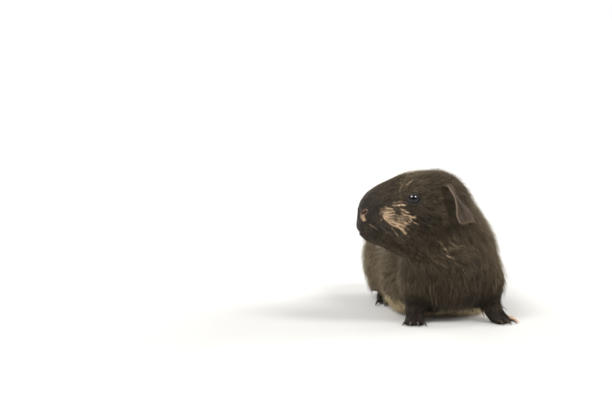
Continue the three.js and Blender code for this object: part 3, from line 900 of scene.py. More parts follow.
def markings(points):
    """Shares of tan, pink, olive and painted shade at each point."""
    tan = streak_share(points, CHEEK_STREAKS) * (1 - streak_share(points, CHEEK_GAPS))
    low_chest = (BODY_X - 8, corner("chest", False)[1] + 12, 20)
    chest = np.linalg.norm((points - low_chest) / (26, 14, 10), axis=1)
    tan = np.maximum(tan, (1 - smoothstep(0.5, 1.2, chest)) * CHEST_TAN)
    pink = np.zeros(len(points))
    line, reach, share = NOSE_RINGS
    for side in SIDES.values():
        gap = polyline_distance(points, np.array([HEAD.place(spot, side) for spot in line]))
        pink = np.maximum(pink, (1 - smoothstep(reach * 0.5, reach * 1.3, gap)) * share)
    spots = HEAD.locate(points)
    # Painted shade round the muzzle, the ear and the cheek, between chest and forelegs, and on the lower
    # legs and feet.
    shade = np.zeros(len(points))
    for place, reach, share in SHADES:
        for side in SIDES.values():
            gap = np.linalg.norm((spots - np.array(place) * (1, side, 1)) / reach, axis=1)
            shade = np.maximum(shade, share * bell(gap, 1.0))
    for side, sign in SIDES.items():
        armpit = (points - shin(side) - (-13 * sign, -2, 14)) / (13, 18, 15)
        shade = np.maximum(shade, ARMPIT_SHADE * bell(np.linalg.norm(armpit, axis=1), 1.0))
    shade = np.maximum(shade, LEG_SHADE * np.maximum(leg_mask(points), foot_mask(points)))
    # Olive: pale belly hair low between the legs, partly its own colour and partly painted light for light
    # through the hair from behind.
    low = 1 - smoothstep(10, 17, points[:, 2] + ripple(points, 6.0, 13) * 1.5)
    under = smoothstep(shin("left")[1] - 6, shin("left")[1] + 3, points[:, 1])
    inward = 1 - smoothstep(34, 46, np.abs(points[:, 0] - BODY_X))
    olive = low * under * inward * (1 - foot_mask(points)) * (1 - leg_mask(points))
    return {"tan": tan, "pink": pink, "olive": olive, "shade": shade}


# ---------------------------------------------------------------- how the coat lies

# A whorl on the left of the throat: places from the head, and the way the hair turns there.
WHORL = (
    ((-19, 20, -28), (0.9, 0, -0.7)),
    ((-25, 19, -30.5), (1, 0.1, -0.1)),
    ((-30, 19, -30), (1, 0.2, 0.1)),
)


def combing():
    """Strokes of the comb: where, and which way the hair lies there."""
    strokes = []
    face = (
        ((34, 0, -6), (-0.3, 0, 1)), ((33, 5, -12), (-0.6, 0.9, 0.2)), ((28, 0, 4), (-1, 0, 0.7)),
        ((14, 0, 12), (-1, 0, 0.4)), ((0, 0, 18), (-1, 0, 0.05)), ((-18, 0, 18), (-1, 0, -0.2)),
        ((2, 10, 14), (-1, 0.3, 0.1)), ((26, 9, -10), (-1, 0.5, -0.25)), ((20, 11, -20), (-0.9, 0.1, -0.5)),
        ((28, 0, -30), (-1, 0, -0.4)), ((14, 15, -10), (-0.95, 0.3, -0.3)),
        ((4, 18, -12), (-0.85, 0.1, -0.5)), ((-10, 21, -14), (-0.8, 0, -0.6)),
        ((-12, 18, 3), (-1, 0.05, -0.1)), ((-3, 13, 9), (-1, 0.1, 0.15)),
        ((7, 14, 1), (-0.6, 0.25, 0.7)), ((1, 17, -6), (-0.95, 0.1, -0.15)),
        ((-26, 12, 10), (-1, 0.2, -0.35)), ((10, 10, -28), (-0.8, 0.2, -0.6)),
        ((-8, 16, -26), (-0.7, 0.2, -0.75)),
    )
    for (forward, left, up), (ahead, aside, above) in face:
        for side in SIDES.values():
            strokes.append((HEAD.place((forward, left, up), side), HEAD.turn((ahead, aside * side, above))))
    chest, trunk, rump = middle("chest"), middle("trunk"), middle("rump")
    half = (corner("trunk", True)[0] - corner("trunk", False)[0]) / 2
    front, back = corner("chest", False)[1], corner("rump", True)[1]
    top = corner("trunk", True)[2]
    body = (
        ((0, front, 60), (0, -0.1, -1)), ((0, front + 6, 30), (0, 0.1, -1)),
        ((0, front + 16, 8), (0, 0.7, -0.5)), ((20, front + 2, 60), (0.35, 0, -1)),
        ((22, front + 4, 35), (0.2, 0, -1)),
        ((34, chest[1], 60), (0.3, 0.35, -0.9)), ((30, chest[1] + 5, 80), (0.8, 0.5, -0.5)),
        ((8, chest[1] + 14, 92), (0.3, 1, -0.15)), ((0, trunk[1], top), (0, 1, 0)),
        ((20, trunk[1], top - 4), (0.15, 1, -0.2)), ((half, trunk[1], 48), (0.05, 0.85, -0.5)),
        ((half - 2, trunk[1], 20), (-0.1, 0.7, -0.8)), ((0, trunk[1], 0), (0, 1, 0)),
        ((0, rump[1], 80), (0, 1, -0.25)), ((26, rump[1], 55), (0.15, 0.8, -0.6)),
        ((0, back, 45), (0, 0.15, -1)), ((18, back - 8, 40), (0.2, 0.3, -1)),
        ((28, front + 12, 25), (0.1, -0.15, -1)), ((22, front + 16, 18), (-0.05, 0, -1)),
        ((42, rump[1] - 22, 25), (0.1, 0.2, -1)), ((30, rump[1] - 40, 20), (0.1, -0.4, -0.9)),
    )
    for (across, y, z), (aside, behind, above) in body:
        for side in SIDES.values():
            place = np.array((BODY_X + across * side, y, z))
            strokes.append((place, np.array((aside * side, behind, above))))
    for side in SIDES:
        foot = middle(f"forefoot_{side}")
        toes = unit(middle(f"foreclaw_{side}_2") + middle(f"foreclaw_{side}_3") - 2 * foot)
        strokes.append((foot, toes + (0, 0, -0.1)))
        strokes.append((middle(f"hindfoot_{side}"), np.array((0.05 * SIDES[side], -1, -0.1))))
    for spot, direction in WHORL:
        strokes.append((HEAD.place(spot), np.array(direction)))
    return strokes


def comb(points, triangles):
    """A direction along the skin at each of its points."""
    total = np.zeros_like(points)
    for place, direction in combing():
        near = 1 / (np.sum((points - place) ** 2, axis=1) + 30) ** 2.2
        total += near[:, None] * unit(direction)
    normals = normals_of(points, triangles)
    edges = edges_of(triangles)
    for _ in range(4):
        total = unit(total - normals * np.sum(total * normals, axis=1)[:, None])
        total = relax(total, edges, 1.0, 6)
    return unit(total - normals * np.sum(total * normals, axis=1)[:, None])


# ---------------------------------------------------------------- the coat

BEND = 0.40                                  # where along a lock its widest ring sits
RING_ANGLES = np.radians((210, 330, 90))     # a lock is flat below and ridged above
LOCK_FLATNESS = 0.55
ROOT_DEPTH = 0.35
STRAY_SHARE = 0.12                           # of the locks, which end a little above the rest
BODY_PALER = 0.24                            # how much paler the locks are off the head
# The flanks are paler again, which partly stands in for light from the side and behind: partly painted
# light.
FLANK_PALER = 0.25                           # and again on the flanks
WISPS = 0.6                                  # loose fine hairs on a square millimetre
WISP_LIFT = 2.6
CLUMP = 9                                    # locks that lean towards the same one
FOLLOW = 0.35                                # how far a lock turns with the comb at each step
# What one lock is of the usual length, height and width, at least and at most.
LENGTHS, HEIGHTS, WIDTHS = (0.75, 1.2), (0.6, 1.2), (0.7, 1.25)
STRAY_LENGTH, STRAY_WIDTH = 1.15, 0.55
# How much the tone varies: in patches, from lock to lock and from clump to clump.
TONE_PATCHES, TONE_LOCKS, TONE_CLUMPS = 0.18, 0.6, 0.95
# Locks on a square millimetre, with two values where a field of the skin leads from one to the other.
FACE_LOCKS = 6.2
BODY_LOCKS = (3.1, 4.0)                      # on the body, and on the nape and legs
# Lengths of locks, in millimetres.
FACE_LENGTHS = (1.2, 4.0)                    # on the nose, and at the back of the cheek
FOOT_LENGTH = 1.6
BODY_LENGTHS = (8.5, 5.5)                    # on the body and on the head
LEG_LENGTH = 5.0
FRINGE_LONGER = 3
WISP_LENGTHS = (9.0, 5.5)
# Widths of locks, in millimetres.
FACE_WIDTHS = (0.20, 0.24)
BODY_WIDTHS = (0.34, 0.29)
WISP_WIDTH = 0.30
# How far the tips of a clump are drawn together.
BODY_GATHER = (0.30, 0.14)
FRINGE_GATHER = 0.6
FACE_GATHER = 0.10
LOCK_FACES = np.array(((0, 1, 2), (4, 2, 1), (0, 2, 3), (4, 3, 2), (0, 3, 1), (4, 1, 3)))


def locks(path, side, up, width, attributes, root_uv):
    """Closed three-sided spindles along given paths: points, triangles, attributes and map places."""
    count = len(path)
    shape, across, along = [path[:, 0]], [0.0], [0.0]
    for angle in RING_ANGLES:
        out = side * math.cos(angle) + up * (math.sin(angle) * LOCK_FLATNESS)
        shape.append(path[:, 1] + out * (width / 2)[:, None])
        across.append(math.cos(angle) / 2)
        along.append(BEND)
    shape.append(path[:, 2])
    across.append(0.0)
    along.append(1.0)
    size = len(shape)
    points = np.stack(shape, axis=1).reshape(-1, 3)
    triangles = (np.arange(count)[:, None, None] * size + LOCK_FACES).reshape(-1, 3)
    spread = np.stack((across, np.array(along) - 0.5), axis=1) * PATCH
    uv = (root_uv[:, None] + spread).reshape(-1, 2)
    given = {key: np.repeat(values, size) for key, values in attributes.items()}
    return points, triangles, {**given, "along": np.tile(along, count)}, uv


class Coat:
    """Grows locks on the skin and gathers them into pieces."""

    def __init__(self, points, triangles, corner_uv, material):
        self.points, self.triangles, self.corner_uv = points, triangles, corner_uv
        self.normals = normals_of(points, triangles)
        self.lie = comb(points, triangles)
        self.depth = coat_depth(points)
        self.tree = BVHTree.FromPolygons(points.tolist(), triangles.tolist())
        self.material = material
        corners = points[triangles]
        across = np.cross(corners[:, 1] - corners[:, 0], corners[:, 2] - corners[:, 0])
        self.area = np.linalg.norm(across, axis=1) / 2
        self.draw = np.random.default_rng(2024)

    def sow(self, density):
        """Random places on the skin, `density` of them on each square millimetre."""
        expected = np.cumsum(self.area * density[self.triangles].mean(axis=1))
        count = int(expected[-1])
        face = np.searchsorted(expected, self.draw.random(count) * expected[-1])
        a, b = self.draw.random((2, count))
        flip = a + b > 1
        a, b = np.where(flip, 1 - a, a), np.where(flip, 1 - b, b)
        return face, np.stack((1 - a - b, a, b), axis=1)

    def over(self, field, face, share):
        """A field of the skin's points at the sown places."""
        return np.einsum("nk,nk...->n...", share, field[self.triangles[face]])

    def landed(self, places):
        """The nearest skin for each place: the spot, its triangle, its normal and its lie."""
        found = [self.tree.find_nearest(Vector(p)) for p in places]
        spot = np.array([f[0] for f in found])
        face = np.array([f[2] for f in found])
        corners = self.triangles[face]
        return spot, face, unit(self.normals[corners].mean(axis=1)), unit(self.lie[corners].mean(axis=1))

    def map_place(self, face):
        """The middle of each triangle on the skin's map."""
        return np.clip(self.corner_uv[face].mean(axis=1), PATCH, 1 - PATCH)

    def grow(self, face, share, length, width, gather, sway, lift):
        """Locks from the sown places: their paths, sides, tops, widths, roots and leaders."""
        draw, count = self.draw, len(face)
        root = self.over(self.points, face, share)
        normal = unit(self.over(self.normals, face, share))
        lie = unit(self.over(self.lie, face, share))
        depth = self.over(self.depth, face, share)
        turn = draw.normal(0, sway, count) + ripple(root, 11.0, 5) * sway * 0.5
        lie = unit(lie * np.cos(turn)[:, None] + np.cross(normal, lie) * np.sin(turn)[:, None])
        stray = draw.random(count) < STRAY_SHARE
        length = length * draw.uniform(*LENGTHS, count) * np.where(stray, STRAY_LENGTH, 1.0)
        high = depth * draw.uniform(*HEIGHTS, count)
        high += (stray + lift) * (0.25 + 0.40 * depth) * draw.uniform(0.2, 1.0, count)
        path = [root - normal * ROOT_DEPTH]
        spot, heading, reached = root, lie, 0.0
        for part in (BEND, 1.0):
            spot, _, up, flow = self.landed(spot + heading * (length * (part - reached))[:, None])
            heading = unit(mix(heading, flow, FOLLOW))
            heading = unit(heading - up * np.sum(heading * up, axis=1)[:, None])
            path.append(spot + up * (high * (1 - (1 - part) ** 2))[:, None])
            if part == BEND:
                side, top = np.cross(heading, up), up
            reached = part
        path = np.stack(path, axis=1)
        leader = self.clump(path, gather)
        path[..., 2] = np.maximum(path[..., 2], FLOOR_GAP)
        width = width * draw.uniform(*WIDTHS, count) * np.where(stray, STRAY_WIDTH, 1.0)
        return path, side, top, width, root, leader

    def clump(self, path, gather):
        """Draws the tips of neighbouring locks together, and returns the leader of each."""
        leaders = np.arange(0, len(path), CLUMP)
        lookup = KDTree(len(leaders))
        for slot, index in enumerate(leaders):
            lookup.insert(path[index, 0], slot)
        lookup.balance()
        leader = leaders[[lookup.find(p)[1] for p in path[:, 0]]]
        path[:, 2] += (path[leader, 2] - path[:, 2]) * gather[:, None]
        path[:, 1] += (path[leader, 1] - path[:, 1]) * (gather * 0.25)[:, None]
        return leader

    def pieces(self, name, density, length, width, gather, sway, parts, order, lift=0.0):
        """Locks of one kind over a zone, in `parts` pieces cut across the given order."""
        face, share = self.sow(density)
        length, width, gather = (self.over(field, face, share) for field in (length, width, gather))
        path, side, top, width, root, leader = self.grow(face, share, length, width, gather, sway, lift)
        own, shared = self.draw.random((2, len(face)))
        tone = 0.5 + TONE_PATCHES * ripple(root, 5.0, 3)
        tone += (own - 0.5) * TONE_LOCKS + (shared[leader] - 0.5) * TONE_CLUMPS
        # Off the head the locks are paler; on the flanks paler again, partly painted light from the side and
        # behind; lifted wisps paler still, as painted rim light.
        flank = smoothstep(16, 40, np.abs(root[:, 0] - BODY_X))
        tone += (BODY_PALER + FLANK_PALER * flank) * (1 - on_head(root)) + lift * 0.09 - 0.06
        marks = markings(path[:, :2].mean(axis=1))
        tan = smoothstep(-0.06, 0.06, marks["tan"] - mix(own, shared[leader], 0.25) * 0.94 - 0.03)
        olive = smoothstep(0.2, 0.8, marks["olive"] + self.draw.normal(0, 0.16, len(face)))
        # Painted rim light: lifted wisps on the flanks are tinted golden with the olive colour.
        olive = np.maximum(olive, flank * lift * 0.08 * (1 - marks["shade"]))
        marks = {"tone": tone, "tan": tan, "olive": olive, "shade": marks["shade"]}
        uv = np.einsum("nk,nkc->nc", share, self.corner_uv[face])
        uv = np.clip(uv, PATCH, 1 - PATCH)
        made = []
        for number, chosen in enumerate(np.array_split(np.argsort(order(root), kind="stable"), parts), 1):
            given = {key: values[chosen] for key, values in marks.items()}
            shape = path[chosen], side[chosen], top[chosen], width[chosen]
            points, triangles, given, spots = locks(*shape, given, uv[chosen])
            thing = mesh_object(f"{name}_{number}", points, triangles, self.material, given)
            layer = thing.data.uv_layers.new(name="OFBake")
            layer.data.foreach_set("uv", spots[triangles.ravel()].astype(np.float32).ravel())
            made.append(thing)
        return made


def bare(points):
    """1 where no hair grows: eye, nostrils, soles and between the toes."""
    none = smoothstep(0.3, 0.8, toe_gap(points))
    for side in SIDES.values():
        eye = HEAD.place(EYE_PLACE, side)
        outward = HEAD.turn((0, side, 0))
        gap = points - eye
        off = np.linalg.norm(gap - np.outer(gap @ outward, outward), axis=1)
        none = np.maximum(none, (1 - smoothstep(*EYE_BARE, off)) * (gap @ outward > 0))
        off = np.linalg.norm(points - HEAD.place(NOSTRIL, side), axis=1)
        none = np.maximum(none, 1 - smoothstep(1.2, 2.0, off))
    return np.maximum(none, 1 - smoothstep(0.4, 1.2, points[:, 2]))


def build_coat(coat):
    """Short locks on the face and feet, longer ones elsewhere, and loose fine hairs over them."""
    points = coat.points
    sparse, broader = ((1.0, 1.0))
    spots = HEAD.locate(points)
    head, feet, legs = on_head(points), foot_mask(points), leg_mask(points)
    grows = 1 - bare(points)
    short = np.maximum(head * smoothstep(-22, -10, spots[:, 0]), feet)
    fuzz = mix(*FACE_LENGTHS, smoothstep(28, -16, spots[:, 0]))
    fuzz = mix(fuzz, FOOT_LENGTH, feet)
    low = 1 - smoothstep(12, 26, points[:, 2])
    fringe = low * (1 - smoothstep(0, 12, points[:, 1] - shin("left")[1])) * (1 - legs)
    lock = mix(*BODY_LENGTHS, head)
    lock = mix(lock, LEG_LENGTH, legs) + fringe * FRINGE_LONGER
    finer = np.maximum(head, legs)
    still = np.full(len(points), FACE_GATHER)

    density = grows * short * FACE_LOCKS * sparse
    width = mix(*FACE_WIDTHS, smoothstep(20, -10, spots[:, 0])) * broader
    made = coat.pieces("coat_face", density, fuzz, width, still, sway=0.10, parts=2,
                       order=lambda p: HEAD.locate(p)[:, 0])

    density = grows * (1 - short) * mix(*BODY_LOCKS, finer) * sparse
    width = mix(*BODY_WIDTHS, finer) * broader
    gather = np.maximum(mix(*BODY_GATHER, head), fringe * FRINGE_GATHER)
    made += coat.pieces("coat_body", density, lock, width, gather, sway=0.12, parts=7,
                        order=lambda p: p[:, 1])

    crown = smoothstep(2, 8, spots[:, 2]) * (1 - smoothstep(-2, 10, spots[:, 0]))
    density = grows * (1 - feet) * np.maximum(1 - short, crown) * WISPS * sparse
    width = np.full(len(points), WISP_WIDTH) * broader
    made += coat.pieces("coat_wisps", density, mix(*WISP_LENGTHS, head), width, still * 2, sway=0.35,
                        parts=2, order=lambda p: p[:, 1], lift=WISP_LIFT)
    return made


# ---------------------------------------------------------------- single hairs, by Geometry Nodes

HAIR_SEGMENTS = 4
HAIR_SIDES = 3


class Growth(Nodes):
    """A Geometry Nodes tree that plants one tapered, bent hair on each point of a mesh.

    A point's `lie` is the way its hair points, its `rise` the way the hair bends and its `size` a scale.
    """

    def __init__(self, name, material, spread=False):
        super().__init__(bpy.data.node_groups.new(name, "GeometryNodeTree"))
        self.tree.interface.new_socket("Geometry", in_out="OUTPUT", socket_type="NodeSocketGeometry")
        kinds = {"Geometry": "Geometry", "Length": "Float", "Width": "Float", "Bend": "Float",
                 "Density": "Float", "Seed": "Int"}
        for key, kind in kinds.items():
            self.tree.interface.new_socket(key, in_out="INPUT", socket_type=f"NodeSocket{kind}")
        self.given = self.node("NodeGroupInput").outputs
        points = self.given["Geometry"]
        if spread:
            inputs = {"Mesh": points, "Density": self.given["Density"], "Seed": self.given["Seed"]}
            points = self.node("GeometryNodeDistributePointsOnFaces", None, inputs).outputs["Points"]
        self.plant(points, self.hair(), material)

    def stored(self, geometry, name, value):
        settings = {"data_type": "FLOAT", "domain": "POINT"}
        inputs = {"Geometry": geometry, "Name": name, "Value": value}
        return self.node("GeometryNodeStoreNamedAttribute", settings, inputs).outputs["Geometry"]

    def named(self, name, kind):
        inputs = {"Name": name}
        made = self.node("GeometryNodeInputNamedAttribute", {"data_type": kind}, inputs)
        return made.outputs["Attribute"]

    def hair(self):
        """A thin cone that bends more towards its tip."""
        inputs = {"Vertices": HAIR_SIDES, "Side Segments": HAIR_SEGMENTS, "Radius Top": 0.0,
                  "Radius Bottom": self.given["Width"], "Depth": self.given["Length"]}
        cone = self.node("GeometryNodeMeshCone", {"fill_type": "NGON"}, inputs).outputs["Mesh"]
        place = self.node("GeometryNodeInputPosition").outputs["Position"]
        parts = self.node("ShaderNodeSeparateXYZ", None, {"Vector": place}).outputs
        along = Value(self, parts["Z"]) / self.given["Length"]
        around = Value(self, parts["X"]) / self.given["Width"]
        cone = self.stored(self.stored(cone, "along", along), "around", around)
        along = Value(self, self.named("along", "FLOAT"))
        sag = along * along * self.given["Bend"] * self.given["Length"]
        offset = self.node("ShaderNodeCombineXYZ", None, {"X": sag}).outputs["Vector"]
        inputs = {"Geometry": cone, "Offset": offset}
        return self.node("GeometryNodeSetPosition", None, inputs).outputs["Geometry"]

    def plant(self, points, hair, material):
        axes = {"Primary Axis": self.named("lie", "FLOAT_VECTOR")}
        axes["Secondary Axis"] = self.named("rise", "FLOAT_VECTOR")
        turn = self.node("FunctionNodeAxesToRotation", {"primary_axis": "Z", "secondary_axis": "X"}, axes)
        inputs = {2: 0.75, 3: 1.2, "Seed": self.given["Seed"]}
        vary = self.node("FunctionNodeRandomValue", {"data_type": "FLOAT"}, inputs).outputs[1]
        scale = Value(self, vary) * self.named("size", "FLOAT")
        inputs = {"Points": points, "Instance": hair, "Rotation": turn.outputs[0], "Scale": scale}
        planted = self.node("GeometryNodeInstanceOnPoints", None, inputs).outputs["Instances"]
        real = self.node("GeometryNodeRealizeInstances", None, {"Geometry": planted}).outputs["Geometry"]
        smooth = self.node("GeometryNodeSetShadeSmooth", None, {"Geometry": real}).outputs["Geometry"]
        inputs = {"Geometry": smooth, "Material": material}
        done = self.node("GeometryNodeSetMaterial", None, inputs).outputs["Geometry"]
        self.node("NodeGroupOutput", None, {"Geometry": done})

    def run(self, name, thing, **sizes):
        """The hairs grown on an object, as a new plain mesh object. The object itself is used up."""
        modifier = thing.modifiers.new("growth", "NODES")
        modifier.node_group = self.tree
        for item in self.tree.interface.items_tree:
            if item.in_out == "INPUT" and item.name in sizes:
                modifier[item.identifier] = sizes[item.name]
        mesh = bpy.data.meshes.new_from_object(thing.evaluated_get(bpy.context.evaluated_depsgraph_get()))
        used = thing.data
        bpy.data.objects.remove(thing)
        bpy.data.meshes.remove(used)
        self.map_patches(mesh)
        return placed(name, mesh)

    def map_patches(self, mesh):
        """Gives each hair its own small patch at its root's place on the map."""
        count = len(mesh.vertices)
        field = {}
        for key in ("root_u", "root_v", "around", "along"):
            field[key] = np.empty(count, np.float32)
            mesh.attributes[key].data.foreach_get("value", field[key])
        uv = np.stack((field["root_u"] + field["around"] * PATCH / 2,
                       field["root_v"] + (field["along"] - 0.5) * PATCH), axis=1)
        corners = np.empty(len(mesh.loops), np.int32)
        mesh.loops.foreach_get("vertex_index", corners)
        for key in ("root_u", "root_v", "around", "lie", "rise", "size"):
            if key in mesh.attributes:
                mesh.attributes.remove(mesh.attributes[key])
        while mesh.uv_layers:
            mesh.uv_layers.remove(mesh.uv_layers[0])
        mesh.uv_layers.new(name="OFBake").data.foreach_set("uv", uv[corners].ravel())


WHISKER_PADS = (             # on the muzzle: the place, how many whiskers and how long they are
    ((25.5, 9.8, -12.5), 7, 15.0),
    ((22.5, 11.5, -15.5), 7, 19.0),
    ((19.5, 12.6, -19.0), 6, 15.0),
    ((2.5, 14.5, 7.8), 3, 10.0),
)
WHISKER_WIDTH = 0.075
LASHES = 150
LASH_WIDTH = 0.07


def whiskers(coat, side, growth):
    """Thin stiff hairs on the muzzle and over the eye, swept back."""
    draw = np.random.default_rng(31)
    roots, lies, sizes = [], [], []
    for pad, count, length in WHISKER_PADS:
        spread = draw.normal(0, (1.3, 1.0, 1.6), (count, 3))
        roots += [HEAD.place(np.array(pad) + s, SIDES[side]) for s in spread]
        swept = (-0.62, 0.62 * SIDES[side], -0.16)
        lies += [HEAD.turn(unit(swept + draw.normal(0, 0.16, 3))) for _ in spread]
        sizes += [length * draw.uniform(0.7, 1.15) for _ in spread]
    return single_hairs(f"whiskers_{side}", coat, roots, lies, sizes, growth, WHISKER_WIDTH, 0.16)


def lashes(coat, side, growth):
    """Short pale hairs along the outside of the lower lid and behind the eye."""
    draw = np.random.default_rng(32)
    eye = Eye(side)
    roots, lies, sizes = [], [], []
    for degrees in np.linspace(168, 338, LASHES) + draw.normal(0, 1.5, LASHES):
        around = math.radians(degrees)
        away = eye.aside(around)
        reach = 4.9 + 0.5 * math.cos(around) ** 2 + draw.normal(0, 0.18)
        roots.append(eye.centre + away * reach + eye.outward * 2.4)
        lie = away * 0.8 + eye.outward * 0.25 - eye.ahead * 0.55
        lies.append(unit(lie + draw.normal(0, 0.12, 3)))
        sizes.append(draw.uniform(0.8, 1.5))
    return single_hairs(f"lashes_{side}", coat, roots, lies, sizes, growth, LASH_WIDTH, 0.1)


def single_hairs(name, coat, roots, lies, sizes, growth, width, bend):
    """Hairs of given lengths from the skin nearest to their roots."""
    spot, face, up, _ = coat.landed(roots)
    uv = coat.map_place(face)
    sizes = np.array(sizes)
    marks = {"lie": np.array(lies), "rise": up * 0.3 - (0, 0, 1), "size": sizes}
    marks |= {"root_u": uv[:, 0], "root_v": uv[:, 1]}
    seeds = mesh_object("roots", spot - up * 0.15, np.empty((0, 3)), None, marks)
    return growth.run(name, seeds, Length=MM, Width=width * MM / np.median(sizes), Bend=bend, Seed=7)


# ---------------------------------------------------------------- eyes and lids

CORNEA = 0.05                # how much fuller the globe is at the front
CORNEA_SPREAD = 0.75         # in radians


class Eye:
    """Middle, radius and axes of a globe, which is turned a little forward."""

    def __init__(self, side):
        low, high = corner(f"eye_{side}", False), corner(f"eye_{side}", True)
        self.centre, self.radius = (low + high) / 2, (high - low)[2] / 2
        forward = HEAD.turn((1, 0, 0))
        self.outward = unit(HEAD.turn((0.12, SIDES[side], 0.06)))
        self.ahead = unit(forward - self.outward * (forward @ self.outward))
        self.above = np.cross(self.ahead, self.outward) * SIDES[side]

    def aside(self, turn):
        """The way across the axis, turned round it from the front."""
        return math.cos(turn) * self.ahead + math.sin(turn) * self.above

    def spot(self, polar, turn, over=0.0):
        """A spot over the globe: `polar` radians from the axis and turned round it."""
        reach = self.radius * (1 + CORNEA * bell(polar, CORNEA_SPREAD)) + over
        return self.centre + reach * (math.cos(polar) * self.outward + math.sin(polar) * self.aside(turn))


def eyeball(side, material):
    """A globe with a slightly fuller cornea."""
    eye = Eye(side)
    steps, rings = 56, 36
    polar = np.linspace(0, math.pi, rings + 2)[1:-1]
    turn = np.linspace(0, 2 * math.pi, steps, endpoint=False)
    points = [eye.spot(p, t) for p in polar for t in turn]
    points += [eye.spot(0, 0), eye.spot(math.pi, 0)]
    faces = ring_faces(rings, steps, False)
    front, back = len(points) - 2, len(points) - 1
    last = (rings - 1) * steps
    faces += [(front, (s + 1) % steps, s) for s in range(steps)]
    faces += [(back, last + s, last + (s + 1) % steps) for s in range(steps)]
    off_axis = list(np.repeat(polar, steps)) + [0, math.pi]
    height = (np.array(points) - eye.centre) @ eye.above / eye.radius
    wet = mix(0.10, 0.9, smoothstep(-0.75, 0.30, height))
    return closed_piece(f"eyeball_{side}", points, faces, material, {"off_axis": off_axis, "wet": wet})


LID_OPEN_LONG = 54.0         # half opening of the lids along the eye, in degrees
LID_OPEN_HIGH = 39.0
# A section of the lid: degrees outwards from the opening, and height over the globe in millimetres.
LID_SECTION = ((0.0, 0.06), (0.8, 0.22), (3.0, 0.34), (6.0, 0.32), (9.0, 0.18), (12.0, 0.26), (16.0, 0.16),
               (21.0, -0.10), (28.0, -0.55), (20.0, -0.75), (8.0, -0.45), (0.6, -0.15))


def eyelids(side, material):
    """A ring of bare lid round the eye, pointed at both corners, with a soft outer fold."""
    eye = Eye(side)
    steps = 72
    points, outwardness, pale = [], [], []
    for degrees, height in LID_SECTION:
        for t in np.linspace(0, 2 * math.pi, steps, endpoint=False):
            corner_pull = abs(math.cos(t)) ** 6 * (6.0 if math.cos(t) > 0 else 4.0)
            opening = math.hypot(LID_OPEN_LONG * math.cos(t), LID_OPEN_HIGH * math.sin(t)) + corner_pull
            crease = 0.06 * math.sin(9 * t + degrees * 0.3) * smoothstep(2, 12, degrees)
            points.append(eye.spot(math.radians(opening + degrees), t, height + crease))
            outwardness.append(degrees / 28)
            pale.append(smoothstep(0.1, -0.6, math.sin(t + 0.5)) * bell(degrees - 6.5, 3.0) * 0.55)
    faces = ring_faces(len(LID_SECTION), steps, True)
    return closed_piece(f"eyelids_{side}", points, faces, material, {"outward": outwardness, "pale": pale})


# ---------------------------------------------------------------- ears and claws

# The front and rear edges of the left ear, from the root down to the hem.
EAR_FRONT = ((-22.0, 8.0, 6.0), (-23.4, 18.4, 9.2), (-25.6, 22.6, 6.0), (-27.2, 24.8, 2.0),
             (-27.8, 26.4, -3.4), (-27.6, 27.6, -9.0), (-29.4, 28.4, -13.8))
EAR_REAR = ((-27.6, 7.0, 6.5), (-27.4, 17.6, 9.4), (-28.6, 21.8, 5.4), (-30.8, 24.6, 0.4),
            (-36.0, 25.6, -4.8), (-39.0, 26.8, -9.6), (-40.6, 28.0, -14.0))
EAR_THICK = (1.5, 0.9)       # at the root and at the hem
EAR_ROWS = 64
EAR_COLUMNS = 40


def ear_sheet(side):
    """The middle surface of an ear as a grid, its normals, and its two grid directions from 0 to 1."""
    front, rear = smooth_line(EAR_FRONT, EAR_ROWS), smooth_line(EAR_REAR, EAR_ROWS)
    a, b = np.meshgrid(np.linspace(0, 1, EAR_ROWS), np.linspace(0, 1, EAR_COLUMNS), indexing="ij")
    sheet = mix(front[:, None], rear[:, None], b[..., None])
    out = 0.5 * np.sin(math.pi * b) + 1.9 * bell(b - 0.70, 0.26) * smoothstep(0.40, 0.72, a)
    out -= 0.9 * bell(b - 0.40, 0.09) * smoothstep(0.46, 0.62, a) * (1 - 0.6 * smoothstep(0.85, 1.0, a))
    out += 0.8 * bell(b - 0.04, 0.10) * smoothstep(0.10, 0.25, a)
    out += 0.14 * np.sin(a * 21 + b * 5) * smoothstep(0.45, 0.7, a)
    sheet[..., 1] += out
    hem = 0.3 * np.sin(math.pi * b) ** 2 + 0.9 * np.sin(2 * math.pi * b)
    sheet[..., 2] -= smoothstep(0.8, 1.0, a) * hem
    sheet[..., 2] += 0.8 * bell(a - 0.19, 0.06) * np.sin(math.pi * b)
    sheet = HEAD.place(sheet.reshape(-1, 3), SIDES[side]).reshape(sheet.shape)
    normal = unit(np.cross(np.gradient(sheet, axis=0), np.gradient(sheet, axis=1)))
    outward = HEAD.turn((0, SIDES[side], 0))
    return sheet, normal * np.sign(np.sum(normal * outward, axis=2, keepdims=True)), a, b


